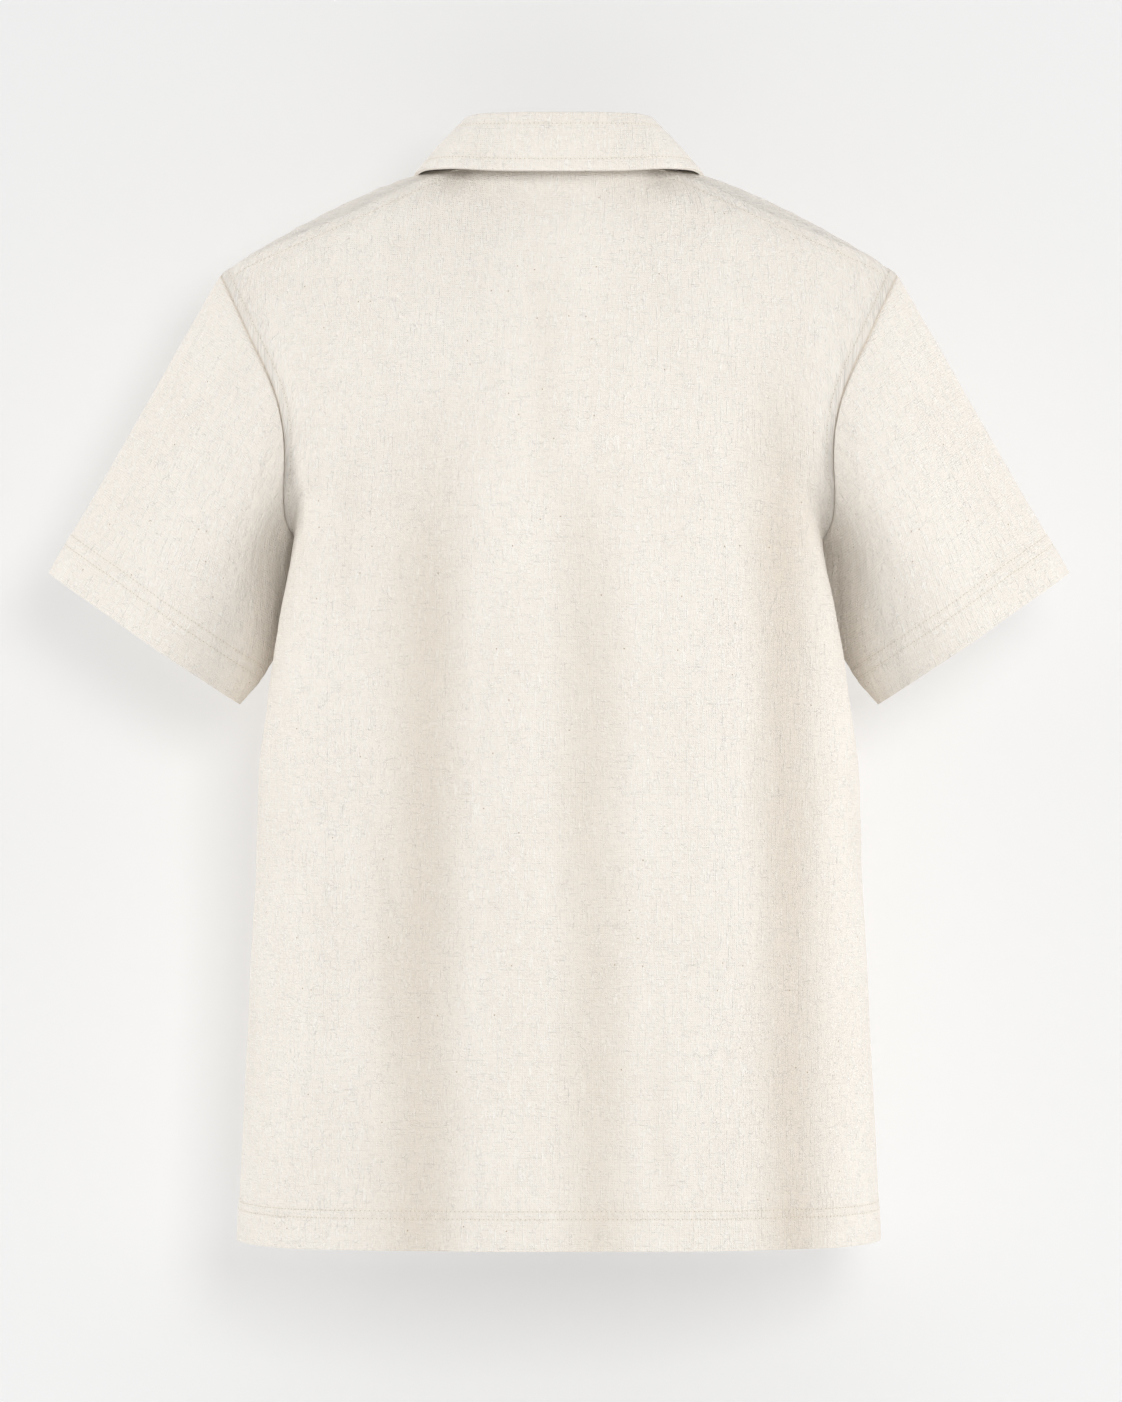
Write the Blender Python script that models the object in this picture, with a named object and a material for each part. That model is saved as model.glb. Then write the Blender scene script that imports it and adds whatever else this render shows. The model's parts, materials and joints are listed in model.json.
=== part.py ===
# A short-sleeve woven shirt in its worn shape, with nobody in it.
# It has a one-piece back, two fronts that close under a placket, two set-in sleeves and a collar on a band.
# X runs across the body with the wearer's left at +X, the chest faces -Y, and Z is up.
# The origin lies in the neck, level with the top of the shoulders.
# Every cloth surface is worked out from sections in millimetres and then given its wall.
import math
from collections import namedtuple

import bmesh
import bpy
import numpy as np
from mathutils import Vector

for startup_object in list(bpy.data.objects):
    bpy.data.objects.remove(startup_object)

MM = 0.001

# Cloth walls, seams and hems.
CLOTH = 1.2
DOUBLED = 2.0
SEAM_GAP = 0.3
NECK_GAP = 0.5
HEM_DEPTH = 27.0
CUFF_HEM_DEPTH = 31.0
HEM_EXTRA = 0.6

# The body below the underarm. side is the half width at the side seam, and lobe is how far
# the curve's handle reaches past that seam, where the cloth falls full behind and before the arm.
Ring = namedtuple("Ring", "z side back front back_lobe front_lobe")
BODY_RINGS = (
    Ring(-724, 214.0, 124, -124, 0, 0),
    Ring(-605, 208.0, 119, -120, 0, 0),
    Ring(-500, 202.5, 117, -118, 0, 0),
    Ring(-390, 191.0, 117, -118, 33, 24),
    Ring(-320, 169.0, 118, -119, 86, 58),
    Ring(-262, 161.0, 119, -120, 90, 60),
)
FLAT_SHARE = 0.60
HANDLE_DEPTH = 0.66
SECTION_POINTS = 121
HEM_Z = {"back": -722.0, "side": -726.0, "front": -723.0}
UNDERARM_Z = -262.0

# The neck seam, by angle round from the centre back, and where the shoulder seam meets it.
NECK_HALF = 64.0
NECK_MID_Y = -2.0
NECK_BACK = 57.0
NECK_FRONT = 64.0
NECK_ROUNDNESS = 0.92
NeckLevel = namedtuple("NeckLevel", "angle z")
NECK_LEVELS = (
    NeckLevel(0, -18.8),
    NeckLevel(40, -16.5),
    NeckLevel(72, -11.5),
    NeckLevel(90, -9.5),
    NeckLevel(110, -24.0),
    NeckLevel(130, -46.0),
    NeckLevel(150, -66.0),
    NeckLevel(168, -76.3),
    NeckLevel(180, -78.0),
)
SEAM_ANGLE = 72.0

# The shoulder seam, which lies a little behind the ridge of the shoulder.
SeamPoint = namedtuple("SeamPoint", "x y z")
SHOULDER_SEAM = (
    SeamPoint(80, 15, -16.0),
    SeamPoint(108, 15, -27.5),
    SeamPoint(145, 14, -44.5),
    SeamPoint(190, 13, -63.5),
    SeamPoint(210, 11, -73.0),
    SeamPoint(224.5, 8, -83.5),
)
SEAM_SLOPE_NECK_DEG = 52.0
SEAM_SLOPE_DEG = 54.0
SEAM_SLOPE_RUN = 30.0
SEAM_PULL = 195.0

# How the chest's cloth leaves the underarm's level and reaches the neck seam, and how its lobes fade.
CHEST_PULL = 1.05
NECK_PULL_IN = 100.0
NECK_PULL_UP = 175.0
NECK_PULL_SIDE = -60.0
NECK_PULL_DROP = -90.0
LEVEL_STEP = 10.0
LOBE_FADE = 0.18
LOBE_POWER = 1.5
EASE_PASSES = 6
EASE_ROWS = 3
EASE_SHARE = 0.5
ARM_REACH_LOW = 0.55
ARM_REACH_TOP = 0.2

# The two armholes' edges, from the underarm up to the end of the shoulder seam.
BACK_ARMHOLE = (
    SeamPoint(161, 0, -262),
    SeamPoint(171, 13, -259.5),
    SeamPoint(179, 30, -250),
    SeamPoint(181, 46, -234),
    SeamPoint(180, 60, -206),
    SeamPoint(182, 65, -180),
    SeamPoint(189.5, 64, -155),
    SeamPoint(199, 57, -136),
    SeamPoint(212.5, 36, -108),
    SeamPoint(224.5, 8, -83.5),
)
FRONT_ARMHOLE = (
    SeamPoint(161, 0, -262),
    SeamPoint(168.5, -13, -259.5),
    SeamPoint(174, -30, -250),
    SeamPoint(175, -46, -234),
    SeamPoint(175, -58, -206),
    SeamPoint(184, -62, -158),
    SeamPoint(200, -50, -122),
    SeamPoint(217.5, -26, -89),
    SeamPoint(224, -10, -79.5),
    SeamPoint(224.5, 8, -83.5),
)

# The cuff's ring: its top and underarm points as seen from behind, and its half depth.
CUFF_TOP = (339.5, -281.0)
CUFF_UNDER = (213.5, -367.5)
CUFF_HALF_DEPTH = 48.0

# How the sleeve leaves the armhole and reaches the cuff, by turn round the arm from its top.
SleevePull = namedtuple("SleevePull", "turn start_x start_y start_z end_x end_y end_z")
SLEEVE_PULLS = (
    SleevePull(0, 115, 0, -197, 115, 0, -197),
    SleevePull(50, 98, 30, -186, 104, -8, -175),
    SleevePull(90, 86, 48, -172, 100, -14, -160),
    SleevePull(135, 100, 30, -100, 92, -10, -118),
    SleevePull(160, 56, 10, -82, 92, -4, -98),
    SleevePull(180, 24, 0, -84, 92, 0, -90),
)
FRONT_FULLNESS = 0.92

# Columns round the body and rows up it, shared by the pieces that meet.
NECK_COLUMNS_BACK = 6
NECK_COLUMNS_FRONT = 7
NECK_SHARE_BACK = 0.30
NECK_SHARE_FRONT = 0.36
SHOULDER_COLUMNS = 9
MID_BACK = NECK_COLUMNS_BACK + SHOULDER_COLUMNS
MID_FRONT = NECK_COLUMNS_FRONT + SHOULDER_COLUMNS
RING_COLUMNS = 2 * (NECK_COLUMNS_BACK + NECK_COLUMNS_FRONT)
BODY_ROWS = 13
CHEST_ROWS = 11
SLEEVE_ROWS = 9

# Front closing.
PLACKET_HALF = 16.0
UNDERLAP = 14.0
STEP_START = 26.0
UNDER_STEP = 1.5
BUTTON_RADIUS = 5.7
BUTTON_THICK = 2.4
BUTTON_HOLE_RADIUS = 0.9
BUTTON_HOLE_OFFSET = 1.6
BUTTON_FIRST_DROP = 62.0
BUTTON_PITCH = 92.0
BUTTON_DISH = 0.5
BUTTON_RIM = 1.4
BUTTON_BEVEL = 0.5
BUTTON_SIDES = 16
HOLE_SIDES = 6
PLACKET_BUTTONS = 6

# The collar, by angle round the neck: the top of its fold and the free edge of its leaf.
CollarSection = namedtuple("CollarSection", "angle fold_x fold_y fold_z leaf_x leaf_y leaf_z")
COLLAR_SECTIONS = (
    CollarSection(0, 0, 52, 20.6, 0, 67.5, -18.2),
    CollarSection(32, 34, 46.5, 20.9, 43, 63.5, -17.4),
    CollarSection(58, 53.5, 30, 21.2, 75, 42, -13.4),
    CollarSection(80, 59.5, 9, 18.8, 93.4, 10, -12.6),
    CollarSection(100, 59, -13, 10, 97.4, -22, -21),
    CollarSection(125, 49, -37, -12.5, 89, -46, -53),
    CollarSection(150, 31.5, -54, -37, 71, -67, -82),
    CollarSection(168, 13.5, -60.5, -46.5, 54, -78, -99),
    CollarSection(180, 0, -62, -48, 47, -81, -103),
)
FOLD_RADIUS = 2.2
BAND_STEP = 2.3
LEG_BACK = 4.0
LEG_FRONT = 1.0
LEG_CHANGE_DEG = 150.0
LEAF_PARTING = 3.0
TAB_HEIGHT = 0.72
BAND_ROWS = (0, 0.35, 0.7, 1.0)
FOLD_STEPS = 6
LEAF_STEPS = 5
MOST_MITRE = 5.0

FLIP = np.array([-1, 1, 1])
BACKWARD = np.array([0.0, 1.0, 0.0])


def curve_through(rows, at, key=0):
    """Values of a table's columns at the given key, on one smooth curve through its rows."""
    table = np.array(rows, float)
    keys = table[:, key]
    if keys[0] > keys[-1]:
        table, keys = table[::-1], keys[::-1]
    slopes = np.gradient(table, keys, axis=0)
    at = np.clip(np.asarray(at, float), keys[0], keys[-1])
    low = np.clip(np.searchsorted(keys, at, side="right") - 1, 0, len(keys) - 2)
    span = keys[low + 1] - keys[low]
    t = ((at - keys[low]) / span)[..., None]
    return hermite(
        table[low], slopes[low] * span[..., None], table[low + 1], slopes[low + 1] * span[..., None], t
    )


def hermite(start, start_pull, end, end_pull, t):
    """A cubic that leaves start along start_pull and reaches end along end_pull."""
    return (
        (2 * t**3 - 3 * t**2 + 1) * start
        + (t**3 - 2 * t**2 + t) * start_pull
        + (3 * t**2 - 2 * t**3) * end
        + (t**3 - t**2) * end_pull
    )


def smoothstep(t):
    t = np.clip(t, 0, 1)
    return t * t * (3 - 2 * t)


def along(points, shares):
    """Points at the given shares of a polyline's length."""
    points = np.array(points, float)
    steps = np.linalg.norm(np.diff(points, axis=0), axis=1)
    reached = np.concatenate([[0], np.cumsum(steps)])
    reached /= reached[-1]
    return np.stack([np.interp(shares, reached, points[:, k]) for k in range(3)], axis=-1)


def smooth_path(points, count=161):
    """A dense smooth curve through a short list of points, keyed by their running length."""
    points = np.array(points, float)
    steps = np.linalg.norm(np.diff(points, axis=0), axis=1)
    keys = np.concatenate([[0], np.cumsum(steps)])
    table = np.column_stack([keys, points])
    return curve_through(table, np.linspace(0, keys[-1], count))[:, 1:]


def neck_point(angle):
    """A point of the neck seam, by angle in degrees from the centre back towards +X."""
    a = math.radians(angle)
    z = curve_through(NECK_LEVELS, abs(angle))[1]
    reach = NECK_BACK if math.cos(a) > 0 else NECK_FRONT
    x = NECK_HALF * math.copysign(abs(math.sin(a)) ** NECK_ROUNDNESS, math.sin(a))
    return np.array([x, NECK_MID_Y + reach * math.cos(a), z])


def section(ring, side):
    """Half of a level ring, from the centre line to the side seam, as dense points."""
    depth = ring[2] if side == "back" else ring[3]
    lobe = ring[4] if side == "back" else ring[5]
    corners = np.array(
        [
            (0, depth),
            (FLAT_SHARE * ring[1], depth),
            (ring[1] + lobe, HANDLE_DEPTH * depth),
            (ring[1], 0),
        ]
    )
    t = np.linspace(0, 1, SECTION_POINTS)[:, None]
    flat = (
        (1 - t) ** 3 * corners[0]
        + 3 * (1 - t) ** 2 * t * corners[1]
        + 3 * (1 - t) * t**2 * corners[2]
        + t**3 * corners[3]
    )
    return np.column_stack([flat, np.full(len(flat), ring[0])])


def columns(side):
    """Shares of the way from the centre line to the side seam, and the column where the neck ends."""
    neck = NECK_COLUMNS_BACK if side == "back" else NECK_COLUMNS_FRONT
    neck_share = NECK_SHARE_BACK if side == "back" else NECK_SHARE_FRONT
    shares = np.concatenate(
        [
            np.linspace(0, neck_share, neck + 1),
            np.linspace(neck_share, 1, SHOULDER_COLUMNS + 1)[1:],
        ]
    )
    return shares, neck


def ring_at(z):
    return curve_through(BODY_RINGS, z)


def section_points(ring, side, shares):
    """Points of a ring at shares of its length. Near the centre front they keep the placket's width."""
    dense = section(ring, side)
    if side == "back":
        return along(dense, shares)
    steps = np.linalg.norm(np.diff(dense, axis=0), axis=1)
    total = steps.sum()
    edge = PLACKET_HALF / total
    bent = np.where(
        shares <= shares[1],
        shares / shares[1] * edge,
        edge + (shares - shares[1]) / (1 - shares[1]) * (1 - edge),
    )
    return along(dense, bent)


def top_edge(side, shares, neck):
    """The neckline and then the shoulder seam, one point for each column."""
    seam_start = neck_point(SEAM_ANGLE)
    seam = smooth_path([seam_start, *SHOULDER_SEAM])
    seam_shares = (shares[neck:] - shares[neck]) / (1 - shares[neck])
    on_seam = along(seam, seam_shares)
    if side == "back":
        angles = np.linspace(0, SEAM_ANGLE, neck + 1)
    else:
        centre = math.degrees(math.asin((PLACKET_HALF / NECK_HALF) ** (1 / NECK_ROUNDNESS)))
        angles = np.concatenate([[180], np.linspace(180 - centre, SEAM_ANGLE, neck)])
    on_neck = np.array([neck_point(a) for a in angles])
    return np.concatenate([on_neck[:-1], on_seam]), angles


def panel(side):
    """The middle surface of half a back or front, as rows from hem to top of points from centre to side."""
    shares, neck = columns(side)
    hem = HEM_Z[side] + (HEM_Z["side"] - HEM_Z[side]) * shares**2
    hem_share = HEM_DEPTH / (UNDERARM_Z - HEM_Z["side"])
    lower = np.concatenate([[0], np.linspace(hem_share, 1, BODY_ROWS)])
    rows = []
    for share in lower:
        heights = hem + (UNDERARM_Z - hem) * share
        rows.append(
            [section_points(ring_at(z), side, shares)[i] for i, z in enumerate(heights)]
        )
    ring = ring_at(UNDERARM_Z)
    chest = section_points(ring, side, shares)
    below = section_points(ring_at(UNDERARM_Z - LEVEL_STEP), side, shares)
    lobe = chest - section_points((*ring[:4], 0, 0), side, shares)
    top, _ = top_edge(side, shares, neck)
    facing = 1 if side == "back" else -1
    climb = np.linalg.norm(top - chest, axis=1)[:, None]
    start_pull = (chest - below) / LEVEL_STEP * climb * CHEST_PULL
    out_along = smoothstep((top[:, 0] - NECK_HALF) / SEAM_SLOPE_RUN)
    slope = np.radians(SEAM_SLOPE_NECK_DEG + (SEAM_SLOPE_DEG - SEAM_SLOPE_NECK_DEG) * out_along)
    seam_pull = np.column_stack([0 * slope, -facing * np.cos(slope), facing * np.sin(slope)]) * SEAM_PULL
    round_neck = np.clip(shares / shares[neck], 0, 1)[:, None]
    centre_pull = np.array([0, -facing * NECK_PULL_IN, NECK_PULL_UP])
    neck_pull = centre_pull + np.array([NECK_PULL_SIDE, 0, NECK_PULL_DROP]) * round_neck**2
    blend = smoothstep(round_neck**3)
    end_pull = neck_pull * (1 - blend) + seam_pull * blend
    arm = smooth_path(BACK_ARMHOLE if side == "back" else FRONT_ARMHOLE)
    for share in np.linspace(0, 1, CHEST_ROWS + 1)[1:]:
        row = hermite(chest - lobe, start_pull, top, end_pull, share)
        row = row + lobe * max(0.0, 1 - share / LOBE_FADE) ** LOBE_POWER
        edge = along(arm, [share])[0]
        reach = ARM_REACH_LOW + (ARM_REACH_TOP - ARM_REACH_LOW) * share
        to_arm = smoothstep((shares - 1 + reach) / reach)[:, None]
        rows.append(row + (edge - row[-1]) * to_arm)
    return np.array(rows)


# Soft folds that hang down the cloth. Each runs from its top to its low point, and height is
# how far it stands out of the cloth, or into it when it is negative.
Fold = namedtuple("Fold", "x_top x_low z_top z_low width height")
BACK_FOLDS = (
    Fold(158, 164, -110, -700, 18, 3.0),
    Fold(84, 92, -150, -700, 26, -4.5),
    Fold(30, 34, -190, -700, 22, 2.5),
    Fold(-16, -24, -170, -700, 22, -3.5),
    Fold(-84, -90, -150, -700, 26, 2.5),
    Fold(-142, -152, -100, -700, 22, -5.0),
)
FRONT_FOLDS = (
    Fold(144, 156, -170, -700, 20, -3.5),
    Fold(104, 112, -130, -700, 22, 3.0),
    Fold(62, 70, -180, -700, 20, -3.0),
    Fold(-66, -60, -170, -700, 20, -2.5),
    Fold(-106, -112, -120, -700, 24, 3.0),
    Fold(-140, -148, -190, -700, 20, -4.0),
)
SleeveFold = namedtuple("SleeveFold", "turn_top turn_low width height")
SLEEVE_FOLDS = (
    SleeveFold(48, 62, 15, -3.5),
    SleeveFold(88, 96, 17, 3.0),
    SleeveFold(-52, -66, 16, -3.0),
    SleeveFold(-92, -100, 18, 2.5),
)


def fold_height(folds, x, z):
    total = np.zeros_like(x)
    for fold in folds:
        way = np.clip((fold.z_top - z) / (fold.z_top - fold.z_low), 0, 1)
        centre = fold.x_top + (fold.x_low - fold.x_top) * way
        total += fold.height * smoothstep(way / 0.3) * np.exp(-(((x - centre) / fold.width) ** 2))
    return total


def unit(vectors):
    return vectors / np.linalg.norm(vectors, axis=-1, keepdims=True)


def normals_of(grid, closed=False):
    """Unit normals of a grid of points, from rows crossed with columns."""
    if closed:
        around = (np.roll(grid, -1, axis=1) - np.roll(grid, 1, axis=1)) / 2
    else:
        around = np.gradient(grid, axis=1)
    return unit(np.cross(around, np.gradient(grid, axis=0)))


def mirrored(grid):
    return grid[:, ::-1] * FLIP


def whole(half):
    """A half panel from centre to side, joined with its mirror image."""
    return np.concatenate([mirrored(half), half[:, 1:]], axis=1)


def eased(grid, held_x=()):
    """The panel evened out: across the chest, and up and down at the underarm's level.

    Its edges stay where they are, and the held_x columns keep their x.
    """
    across = np.zeros(grid.shape[:2])
    rows_up = np.arange(len(grid) - 1)[:, None] - (BODY_ROWS - EASE_ROWS - 1)
    across[:-1, 1:-1] = EASE_SHARE * smoothstep(rows_up / (2 * EASE_ROWS))
    along_rows = np.zeros(grid.shape[:2])
    along_rows[BODY_ROWS - EASE_ROWS : BODY_ROWS + EASE_ROWS, 1:-1] = EASE_SHARE
    held = grid[:, held_x, 0].copy()
    for _ in range(EASE_PASSES):
        step = np.zeros_like(grid)
        step[:, 1:-1] += (grid[:, :-2] / 2 + grid[:, 2:] / 2 - grid[:, 1:-1]) * across[:, 1:-1, None]
        step[1:-1] += (grid[:-2] / 2 + grid[2:] / 2 - grid[1:-1]) * along_rows[1:-1, :, None]
        grid = grid + step
        grid[:, held_x, 0] = held
    return grid


def folded(grid, folds, facing):
    """The panel with its folds, which die out at its seams."""
    outward = normals_of(grid) * -facing
    height = fold_height(folds, grid[..., 0], grid[..., 2])
    columns_in = np.arange(grid.shape[1])
    near_side = np.minimum(columns_in, grid.shape[1] - 1 - columns_in)
    free = smoothstep(near_side / 2.0)[None, :]
    rows_down = (grid.shape[0] - 1 - np.arange(grid.shape[0]))[:, None]
    return grid + outward * (height * free * smoothstep(rows_down / 4.0))[..., None]


def sleeve():
    """The left sleeve's middle surface, as rows from armhole to cuff of points round from the top."""
    shares = np.linspace(0, 1, CHEST_ROWS + 1)
    back = along(smooth_path(BACK_ARMHOLE), shares)
    front = along(smooth_path(FRONT_ARMHOLE), shares)
    loop = np.concatenate([back[::-1], front[1:-1]])
    turns = np.concatenate([180 * (1 - shares[::-1]), 180 + 180 * shares[1:-1]])
    turn = np.radians(turns)[:, None]
    top, under = (np.array([p[0], 0, p[1]]) for p in (CUFF_TOP, CUFF_UNDER))
    depth = np.array([0, CUFF_HALF_DEPTH, 0])
    cuff = (top + under) / 2 + (top - under) / 2 * np.cos(turn) + depth * np.sin(turn)
    outer_run = top - loop[0]
    pulls = curve_through(SLEEVE_PULLS, 180 - np.abs(turns - 180))[:, 1:]
    facing = np.where(turns <= 180, 1, -FRONT_FULLNESS)[:, None]
    start_pull = pulls[:, :3] * np.concatenate([1 + 0 * facing, facing, 1 + 0 * facing], axis=1)
    end_pull = pulls[:, 3:] * np.concatenate([1 + 0 * facing, facing, 1 + 0 * facing], axis=1)
    run = np.linalg.norm(outer_run)
    ways = np.concatenate([np.linspace(0, 1 - CUFF_HEM_DEPTH / run, SLEEVE_ROWS), [1]])
    grid = np.array([hermite(loop, start_pull, cuff, end_pull, w) for w in ways])
    return grid, np.degrees(turn[:, 0]), ways


def sleeve_folded(grid, turns, ways):
    """The sleeve with its folds, which start below the armhole and fade a little at the hem."""
    outward = -normals_of(grid, closed=True)
    way = ways[:, None]
    height = np.zeros(grid.shape[:2])
    for fold in SLEEVE_FOLDS:
        centre = fold.turn_top + (fold.turn_low - fold.turn_top) * way
        off = (turns[None, :] - centre + 180) % 360 - 180
        height += fold.height * np.exp(-((off / fold.width) ** 2))
    height *= smoothstep(way / 0.35) * (1 - 0.4 * smoothstep((way - 0.7) / 0.3))
    return grid + outward * height[..., None]


def dot(a, b):
    return np.sum(a * b, axis=-1, keepdims=True)


def seam(points, own, other, into, gap=SEAM_GAP, closed=False):
    """Where two walls meet: the direction to their shared outer corner, and the step that parts this wall."""
    mitre = (own + other) / (1 + dot(own, other))
    length = np.linalg.norm(mitre, axis=-1, keepdims=True)
    mitre = mitre * np.minimum(1, MOST_MITRE / length)
    if closed:
        ahead = np.roll(points, -1, axis=0) - np.roll(points, 1, axis=0)
    else:
        ahead = np.gradient(points, axis=0)
    away = unit(np.cross(ahead, mitre))
    return mitre, away * np.sign(dot(away, into)) * gap / 2


# A piece of cloth before it has a wall: its middle surface, the normals of that surface, the way to
# the wall's outer side at each point, and the small step that parts it from its neighbour at a seam.
Piece = namedtuple("Piece", "middle own out shift")


def piece(middle, outward):
    return Piece(middle, outward, outward.copy(), np.zeros_like(middle))


def part_of(whole_piece, columns_in):
    return Piece(*(values[:, columns_in].copy() for values in whole_piece))


def join_sides(back, front):
    """The side seams, from the hem to the underarm."""
    rows = slice(0, BODY_ROWS + 1)
    for column in (-1, 0):
        points = back.middle[rows, column]
        mitre, away = seam(points, back.own[rows, column], front.own[rows, column], BACKWARD)
        back.out[rows, column] = front.out[rows, column] = mitre
        back.shift[rows, column] += away
        front.shift[rows, column] -= away


def join_shoulders(back, front):
    """The shoulder seams, from the neck to the arm."""
    for on_back, on_front in (
        (slice(MID_BACK + NECK_COLUMNS_BACK, None), slice(MID_FRONT + NECK_COLUMNS_FRONT, None)),
        (slice(0, MID_BACK - NECK_COLUMNS_BACK + 1), slice(0, MID_FRONT - NECK_COLUMNS_FRONT + 1)),
    ):
        points = back.middle[-1, on_back]
        mitre, away = seam(points, back.own[-1, on_back], front.own[-1, on_front], BACKWARD)
        back.out[-1, on_back] = front.out[-1, on_front] = mitre
        back.shift[-1, on_back] += away
        front.shift[-1, on_front] -= away


def join_armholes(back, front, arm):
    """The armhole seams. The sleeve's first row runs from the shoulder down the back and up the front."""
    body = unit(
        np.concatenate([back.out[: BODY_ROWS - 1 : -1, -1], front.out[BODY_ROWS + 1 : -1, -1]])
    )
    loop = arm.middle[0]
    mitre, away = seam(loop, body, arm.own[0], arm.middle[1] - loop, closed=True)
    arm.out[0] = mitre
    arm.shift[0] += away
    up_back = np.arange(CHEST_ROWS, -1, -1)
    up_front = np.append(np.arange(CHEST_ROWS, 2 * CHEST_ROWS), 0)
    for column, flip in ((-1, 1), (0, FLIP)):
        for half, order in ((back, up_back), (front, up_front)):
            half.out[BODY_ROWS:, column] = (mitre * flip)[order]
            half.shift[BODY_ROWS:, column] -= (away * flip)[order]


def neck_places(number, back, front):
    """The body's top columns that meet a column of the neck ring, as pieces and column numbers."""
    from_back = number - RING_COLUMNS // 2
    places = []
    if abs(from_back) <= NECK_COLUMNS_BACK:
        places.append((back, MID_BACK + from_back))
    if abs(from_back) >= NECK_COLUMNS_BACK:
        from_front = RING_COLUMNS // 2 - abs(from_back)
        places.append((front, MID_FRONT + (from_front if from_back > 0 else -from_front)))
    return places


def join_neck(back, front, ring):
    """The neck seam, where the body's top edges meet the collar band's lower edge."""
    places = [neck_places(number, back, front) for number in range(RING_COLUMNS)]
    body = unit(np.array([at[0][0].out[-1, at[0][1]] for at in places]))
    mitre, away = seam(ring["neck"], body, ring["out"], ring["up"], NECK_GAP, closed=True)
    for number, at in enumerate(places):
        for half, column in at:
            half.out[-1, column] = mitre[number]
            half.shift[-1, column] -= away[number]
    ring["mitre"] = mitre
    ring["away"] = away


def mesh_object(name, points, faces, finish, smooth_deg=40):
    """A named object from points in millimetres, its faces turned outward."""
    mesh = bpy.data.meshes.new(name)
    work = bmesh.new()
    corners = [work.verts.new(p * MM) for p in points]
    for face in faces:
        work.faces.new([corners[i] for i in face])
    bmesh.ops.recalc_face_normals(work, faces=work.faces)
    work.to_mesh(mesh)
    work.free()
    mesh.materials.append(finish)
    mesh.shade_smooth()
    mesh.set_sharp_from_angle(angle=math.radians(smooth_deg))
    made = bpy.data.objects.new(name, mesh)
    bpy.context.scene.collection.objects.link(made)
    return made


def strip_faces(first, second, closed, turned=0):
    """Triangles between two rows of point numbers. The first few squares are cut along the other diagonal."""
    count = len(first) if closed else len(first) - 1
    faces = []
    for i in range(count):
        j = (i + 1) % len(first)
        if i < turned:
            faces += [(first[i], first[j], second[i]), (first[j], second[j], second[i])]
        else:
            faces += [(first[i], first[j], second[j]), (first[i], second[j], second[i])]
    return faces


def wall(name, cloth, low, high, finish, closed=False, turned=0):
    """A cloth wall round a piece's middle surface, from low to high along its outward directions.

    The columns on the wearer's right are the turned ones, which makes the two sides mirror images.
    """
    rows, cols = cloth.middle.shape[:2]
    seated = cloth.middle + cloth.shift
    inner = seated + cloth.out * np.broadcast_to(low, (rows, cols))[..., None]
    outer = seated + cloth.out * np.broadcast_to(high, (rows, cols))[..., None]
    numbers = np.arange(rows * cols).reshape(rows, cols)
    under = numbers + rows * cols
    faces = []
    for i in range(rows - 1):
        faces += strip_faces(numbers[i], numbers[i + 1], closed, turned)
        faces += [f[::-1] for f in strip_faces(under[i], under[i + 1], closed, turned)]
    for row in (0, -1):
        faces += strip_faces(under[row], numbers[row], closed, turned)
    if not closed:
        for column in (0, -1):
            faces += strip_faces(under[:, column], numbers[:, column], False)
    points = np.concatenate([outer.reshape(-1, 3), inner.reshape(-1, 3)])
    return mesh_object(name, points, faces, finish)


def plain_finish(name, colour, roughness):
    """A plain finish from an sRGB colour."""
    made = bpy.data.materials.new(name)
    made.use_nodes = True
    shader = made.node_tree.nodes["Principled BSDF"]
    linear = [((c + 0.055) / 1.055) ** 2.4 for c in colour]
    shader.inputs["Base Color"].default_value = (*linear, 1)
    shader.inputs["Roughness"].default_value = roughness
    shader.inputs["Metallic"].default_value = 0
    made.diffuse_color = (*linear, 1)
    return made


def hemmed(shape, hem_rows):
    """How far a wall reaches in from the middle surface: deeper where the hem is turned up."""
    levels = np.full(shape, -CLOTH / 2)
    levels[hem_rows] -= HEM_EXTRA
    return levels


def make_back(back):
    low = hemmed(back.middle.shape[:2], slice(0, 2))
    wall("back", back, low, CLOTH / 2, linen, turned=MID_BACK)


def make_left_front(front):
    """The upper front, which starts at the placket's edge."""
    left = part_of(front, slice(MID_FRONT + 1, None))
    left.shift[:, 0, 0] += SEAM_GAP / 2
    low = hemmed(left.middle.shape[:2], slice(0, 2))
    wall("front_left", left, low, CLOTH / 2, linen)


def make_placket(front):
    """The doubled strip that carries the buttons, sewn along the left front's edge."""
    strip = part_of(front, slice(MID_FRONT - 1, MID_FRONT + 2))
    strip.shift[:, -1, 0] -= SEAM_GAP / 2
    wall("placket", strip, -CLOTH / 2, DOUBLED - CLOTH / 2, linen, turned=1)


def share_at_x(grid, from_column, to_column, x):
    """How far each row has gone from one column to another where it crosses a given x."""
    first, second = grid[:, from_column, 0], grid[:, to_column, 0]
    return ((x - first) / (second - first))[:, None]


def between(values, from_column, to_column, share):
    return (values[:, from_column] * (1 - share) + values[:, to_column] * share)[:, None]


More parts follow.
